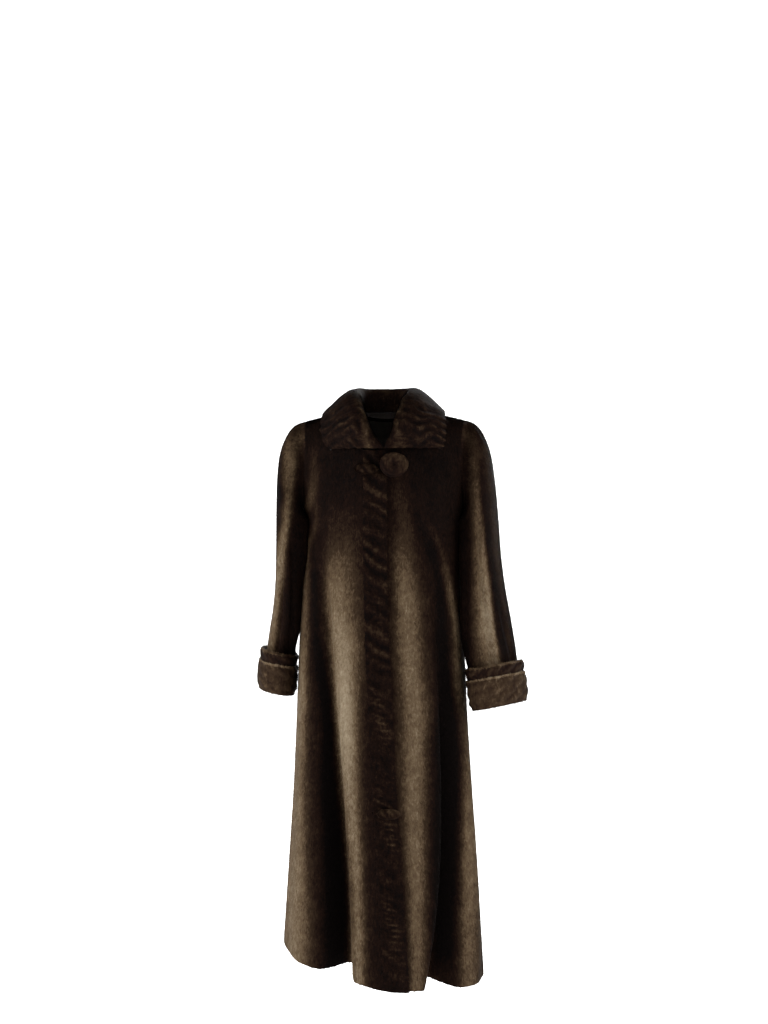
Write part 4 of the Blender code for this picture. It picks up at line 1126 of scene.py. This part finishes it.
# The ridges run from the neck to the edge of the wings, drift, break off and fade towards the back
drift = 0.42 * np.sin(2 * np.pi * t * 1.2 + 5.3 * round_neck)
drift = drift + 0.20 * np.sin(2 * np.pi * t * 3.1 + 11 * round_neck)
wave = from_end * WING_RIDGES / WING_END + drift
broken = np.sin(7.0 * t + 17 * round_neck) * np.sin(12.0 * t - 9 * round_neck + 1)
fade = (1 - ease((from_end - WING_END + 0.12) / 0.14)) * ease((t - 0.22) / 0.2)
fade = fade * (0.625 + 0.375 * broken)
ridge = np.sin(2 * np.pi * wave) * fade
# Between them lie moire marks and small lumps, which are fainter behind the neck
nape = 1 - 0.5 * ease((from_end - WING_END) / 0.2)
moire = np.sin(2 * np.pi * (2.3 * wave + 0.7 * np.sin(2 * np.pi * t * 2.2 + 9 * round_neck)))
moire = moire * nape
spots = np.sin(21 * t + 13 * round_neck) * np.sin(31 * round_neck - 9 * t)
rim = ease(from_end / 0.02) * ease((1 - t) / 0.05)
lumps = (MOIRE_HEIGHT * moire + LUMP_HEIGHT * spots * nape) * ease(t * 4 - 0.4)
height = COLLAR_RIDGE * ridge + lumps
height = height - RIM_SINK * (1 - rim)
collar = collar - grid_normals(collar) * height[..., None]
# A painted highlight runs along the roll, on a line that rises towards the back
crest = np.exp(-(((t - 0.36 + 0.17 * (1 - np.clip(from_end / 0.36, 0, 1))) / 0.08) ** 2))
# The ridges are painted lighter on their crests and darker between them, a painted highlight and
# shade; the moire marks and spots are the fur's own pattern. It is darker near the front ends, past
# the roll
tone = COLLAR_TONE + RIDGE_PAINTED_SHADING * ridge + MARK_CONTRAST * (moire * fade + spots)
tone = tone + (0.10 + 0.12 * ease((0.6 - from_end) / 0.3)) * crest
tone = tone - 0.05 * (1 - ease(from_end / 0.12)) * ease((t - 0.3) / 0.2)
fur_piece("collar", collar, -grid_normals(collar), tone, 72000, 61, (0.819, 0.183), held="folded",
          rests=["front_right", "front_left", "back"], slot="ribbed_fur", material=RIBBED,
          wall=collar_thick, flip=True, nap=unit(np.gradient(collar, axis=1)), rise=14,
          free=((1, -1), (0, 0), (0, -1)), **RIBBED_TUFT)

# --- The button, its loop and the lower tab -----------------------------------------------------
# A large button covered with fur, drawn in by a stitch, stands on a short shank on the left front.
# A fur tab on the band loops over its side, and a small one marks the hidden closure lower down.

BUTTON = (0.0305, -0.1370, 0.0325, 0.0285)  # middle across and up, and half sizes
# Its outline from the foot of the shank to the dimple: share of the half sizes, and rise
BUTTON_SHARE = (0.0, 0.20, 0.20, 0.55, 0.86, 1.00, 0.97, 0.80, 0.50, 0.22, 0.0)
BUTTON_RISE = (0.0006, 0.0006, 0.017, 0.018, 0.0215, 0.029, 0.035, 0.041, 0.0435, 0.0425, 0.0395)
BUTTON_SINK = 0.0012
# Tabs: middle across and up, half sizes, and height
BUTTON_LOOP = (-0.0270, -0.1420, 0.0250, 0.0135, 0.0100)
LOWER_TAB = (0.0225, -0.8660, 0.0230, 0.0120, 0.0080)
PAD_EDGE = 0.0015
PAD_TURN_IN = 0.012  # what the cut of a tab has beyond its worn size


def front_at(x, z, lap):
    """Points and outward unit normals of a front at distances across and heights."""
    def place(dx, dz):
        return body(angle_of(x + dx, z + dz), z + dz, lap)

    step = 0.001
    slope = np.cross(place(step, 0) - place(-step, 0), place(0, step) - place(0, -step))
    return place(0, 0), unit(slope)


def button():
    """Rings of an oval whose share and rise follow the tables, wobbling a little, with a dimple."""
    x, z, half_x, half_z = BUTTON
    base, out = front_at(np.array([x]), np.array([z]), -1)
    base, out = base[0], out[0]
    across = unit(np.cross([0.0, 0.0, 1.0], -out))
    across = across * np.sign(across[0])
    up = unit(np.cross(across, -out))
    up = up * np.sign(up[2])
    around = np.linspace(0, 2 * np.pi, 72, endpoint=False)[None, :, None]
    knots = np.arange(len(BUTTON_SHARE))
    places = np.concatenate([[1, 1.5], np.linspace(2, len(knots) - 1, 40)])[:-1]
    share = np.interp(places, knots, BUTTON_SHARE)[:, None, None]
    rise = np.interp(places, knots, BUTTON_RISE)[:, None, None]
    shrink = 1 - 0.05 * ease((share - 0.3) / 0.3)
    wobble = 1 + 0.025 * np.sin(3 * around + 0.7) * ease((share - 0.3) / 0.2)
    offset = np.cos(around) * across * half_x + np.sin(around) * up * half_z
    sunk = rise - BUTTON_SINK * ease((rise - 0.02) / 0.01)
    grid = base + out * sunk + offset * share * wobble * shrink
    share = share[..., 0]
    count = grid[..., 0].size
    number = ring_closed(np.arange(count).reshape(grid.shape[:2]))
    foot, top = number[0], number[-1]
    ends = [[b, a, count] for a, b in zip(foot[:-1].tolist(), foot[1:].tolist())]
    ends += [[a, b, count + 1] for a, b in zip(top[:-1].tolist(), top[1:].tolist())]
    middles = [base + out * BUTTON_RISE[0], base + out * (BUTTON_RISE[-1] - BUTTON_SINK)]
    points = np.concatenate([grid.reshape(-1, 3), middles])
    turn = ring_closed(around)[..., 0]
    # The button is painted lighter on its upper right and darker on its lower left, a painted
    # highlight and shade, and painted darker at the shank and in the dimple, with its middles darkest
    tone = 0.27 + 0.15 * np.cos(turn - 0.9) * share + 0.03 * np.sin(5 * turn + 9 * share)
    tone = tone - 0.14 * (1 - ease((share - 0.15) / 0.35))
    values = {"tone": np.append(tone[:, :-1].ravel(), [0.1, 0.1]), "tip": np.full(len(points), 0.4)}
    skin_piece = make_piece("button_skin", points, cells_of(number).tolist() + ends, [RIBBED], values)
    facing = grid_normals(np.pad(grid, ((0, 0), (1, 1), (0, 0)), mode="wrap"))[:, 1:]
    closed = ring_closed(grid)
    lay = unit(np.gradient(closed, axis=0) + 0.4 * np.gradient(closed, axis=1) + 1e-9)
    covered = slice(14, None)  # the rings above the shank and the button's back
    fur = pile("button_pile", closed[covered], facing[covered], tone[covered], lay[covered], 7000,
               RIBBED, 71, length=0.0040, width=0.0014, rise=16)
    replace_node("button", "ribbed_fur")


def tab(node, sizes, waist, count, seed):
    """A rounded oblong on the band, its crown (1 - u^4)(1 - v^4), narrower at its middle."""
    x_middle, z_middle, half_x, half_z, height = sizes
    u, v = np.meshgrid(np.linspace(-1, 1, 44), np.linspace(-1, 1, 26))
    x = x_middle + half_x * u * np.sqrt(1 - 0.35 * v**2)
    z = z_middle + half_z * v * np.sqrt(1 - 0.75 * np.abs(u) ** 3) * (1 - waist * (1 - u**2))
    crown = (1 - u**4) * (1 - v**4)
    lumps = 1 + 0.12 * np.sin(5 * u + 1.0) * np.cos(3 * v) + 0.05 * np.sin(13 * u + 4 * v)
    high = PAD_EDGE + (height - PAD_EDGE) * crown * np.minimum(lumps, 1.12)
    points, normals = front_at(x, z, 1)
    grid = points + normals * (SEAM + RIB_HEIGHT + high)[..., None]
    tone = 0.26 + 0.08 * np.sin(9 * u + 3 * v) + 0.08 * v
    high = high[..., None]
    fur_piece(node, grid, grid_normals(grid), tone, count, seed,
              (2 * half_x + PAD_TURN_IN, 2 * half_z + PAD_TURN_IN), held="laid",
              rests=["front_band"], slot="ribbed_fur", material=RIBBED, wall=high,
              sink=0.6 * np.minimum(high, 0.002), nap=unit(np.gradient(grid, axis=1)),
              length=0.0038, width=0.0012, rise=18)


button()
tab("button_loop", BUTTON_LOOP, 0.15, 3600, 81)
tab("closure_tab", LOWER_TAB, 0.10, 2600, 83)

# --- Floor, light and camera ------------------------------------------------------------------
# A plain pale floor that runs up into a pale wall, three soft lights in front and one behind, and
# a camera level with the hips at the photograph's angle.

FLOOR_Z = -1.520
FLOOR_REACH = 6.0
WALL_FOOT, WALL_TOP = 3.0, 4.2  # how far back it turns up and ends
WALL_START = 0.55  # share of the sheet that lies flat before it turns up
WALL_HEIGHT = 4.5
PICTURE_HEIGHT = 1024  # pixels
PIXEL = 0.00225  # metres at the coat's middle
SENSOR = 36.0
AIM = np.array([0.0, 0.0, -0.6])  # where the lights point
WORLD_LIGHT = 0.07
WORLD_SEEN = 0.90

camera_data = bpy.data.cameras.new("camera")
camera = bpy.data.objects.new("camera", camera_data)
bpy.context.scene.collection.objects.link(camera)
camera.location = (VIEW_DISTANCE * np.sin(VIEW_TURN), -VIEW_DISTANCE * np.cos(VIEW_TURN), VIEW_Z)
camera.rotation_euler = (np.pi / 2, 0, VIEW_TURN)
camera_data.sensor_width = SENSOR
camera_data.lens = SENSOR * (VIEW_DISTANCE / PIXEL) / PICTURE_HEIGHT
camera_data.shift_x = -1 / PICTURE_HEIGHT
camera_data.shift_y = 28 / PICTURE_HEIGHT
bpy.context.scene.camera = camera

span = np.linspace(-FLOOR_REACH, FLOOR_REACH, 9)
run = np.linspace(0, 1, 40)
reach = np.interp(run, [0, WALL_START, 1], [-FLOOR_REACH, WALL_FOOT, WALL_TOP])
height = FLOOR_Z + WALL_HEIGHT * ease((run - WALL_START) / (1 - WALL_START)) ** 2
corners = np.broadcast_arrays(span[None, :], reach[:, None], height[:, None])
corners = np.stack(corners, axis=-1)
number = np.arange(corners[..., 0].size).reshape(corners.shape[:2])
floor_mesh = bpy.data.meshes.new("floor")
floor_mesh.from_pydata(corners.reshape(-1, 3), [], cells_of(number))
floor_mesh.shade_smooth()
floor = bpy.data.objects.new("floor", floor_mesh)
bpy.context.scene.collection.objects.link(floor)
paper = (
    ("Base Color", (0.9, 0.9, 0.9, 1)),
    ("Roughness", 0.9),
    ("Emission Color", (1, 1, 1, 1)),
    ("Emission Strength", 0.96),
)
floor_mesh.materials.append(new_material("pale_floor", paper)[0])

for name, place, size, power in (
    ("left_light", (-2.7, -1.5, 0.2), 1.3, 112),
    ("right_light", (2.7, -1.5, 0.2), 1.3, 92),
    ("top_light", (-0.3, -1.9, 2.0), 1.0, 20),
    ("back_light", (0.4, 2.6, 0.6), 1.6, 110),
):
    lamp_data = bpy.data.lights.new(name, "AREA")
    lamp_data.size = size
    lamp_data.energy = power
    lamp = bpy.data.objects.new(name, lamp_data)
    bpy.context.scene.collection.objects.link(lamp)
    lamp.location = place
    x, y, z = AIM - np.array(place)
    lamp.rotation_euler = (np.arctan2(np.hypot(x, y), -z), 0, np.arctan2(-x, y))

# The world lights the coat faintly, and the camera sees it as pale as the wall
world = bpy.data.worlds.new("studio")
world.use_nodes = True
background = world.node_tree.nodes["Background"]
background.inputs["Color"].default_value = (1, 1, 1, 1)
rays = [(wired(world.node_tree, "ShaderNodeLightPath").outputs["Is Camera Ray"], "Value")]
values = [("To Min", WORLD_LIGHT), ("To Max", WORLD_SEEN)]
strength = wired(world.node_tree, "ShaderNodeMapRange", rays, values)
world.node_tree.links.new(strength.outputs["Result"], background.inputs["Strength"])
bpy.context.scene.world = world
bpy.context.scene.view_settings.view_transform = "Standard"
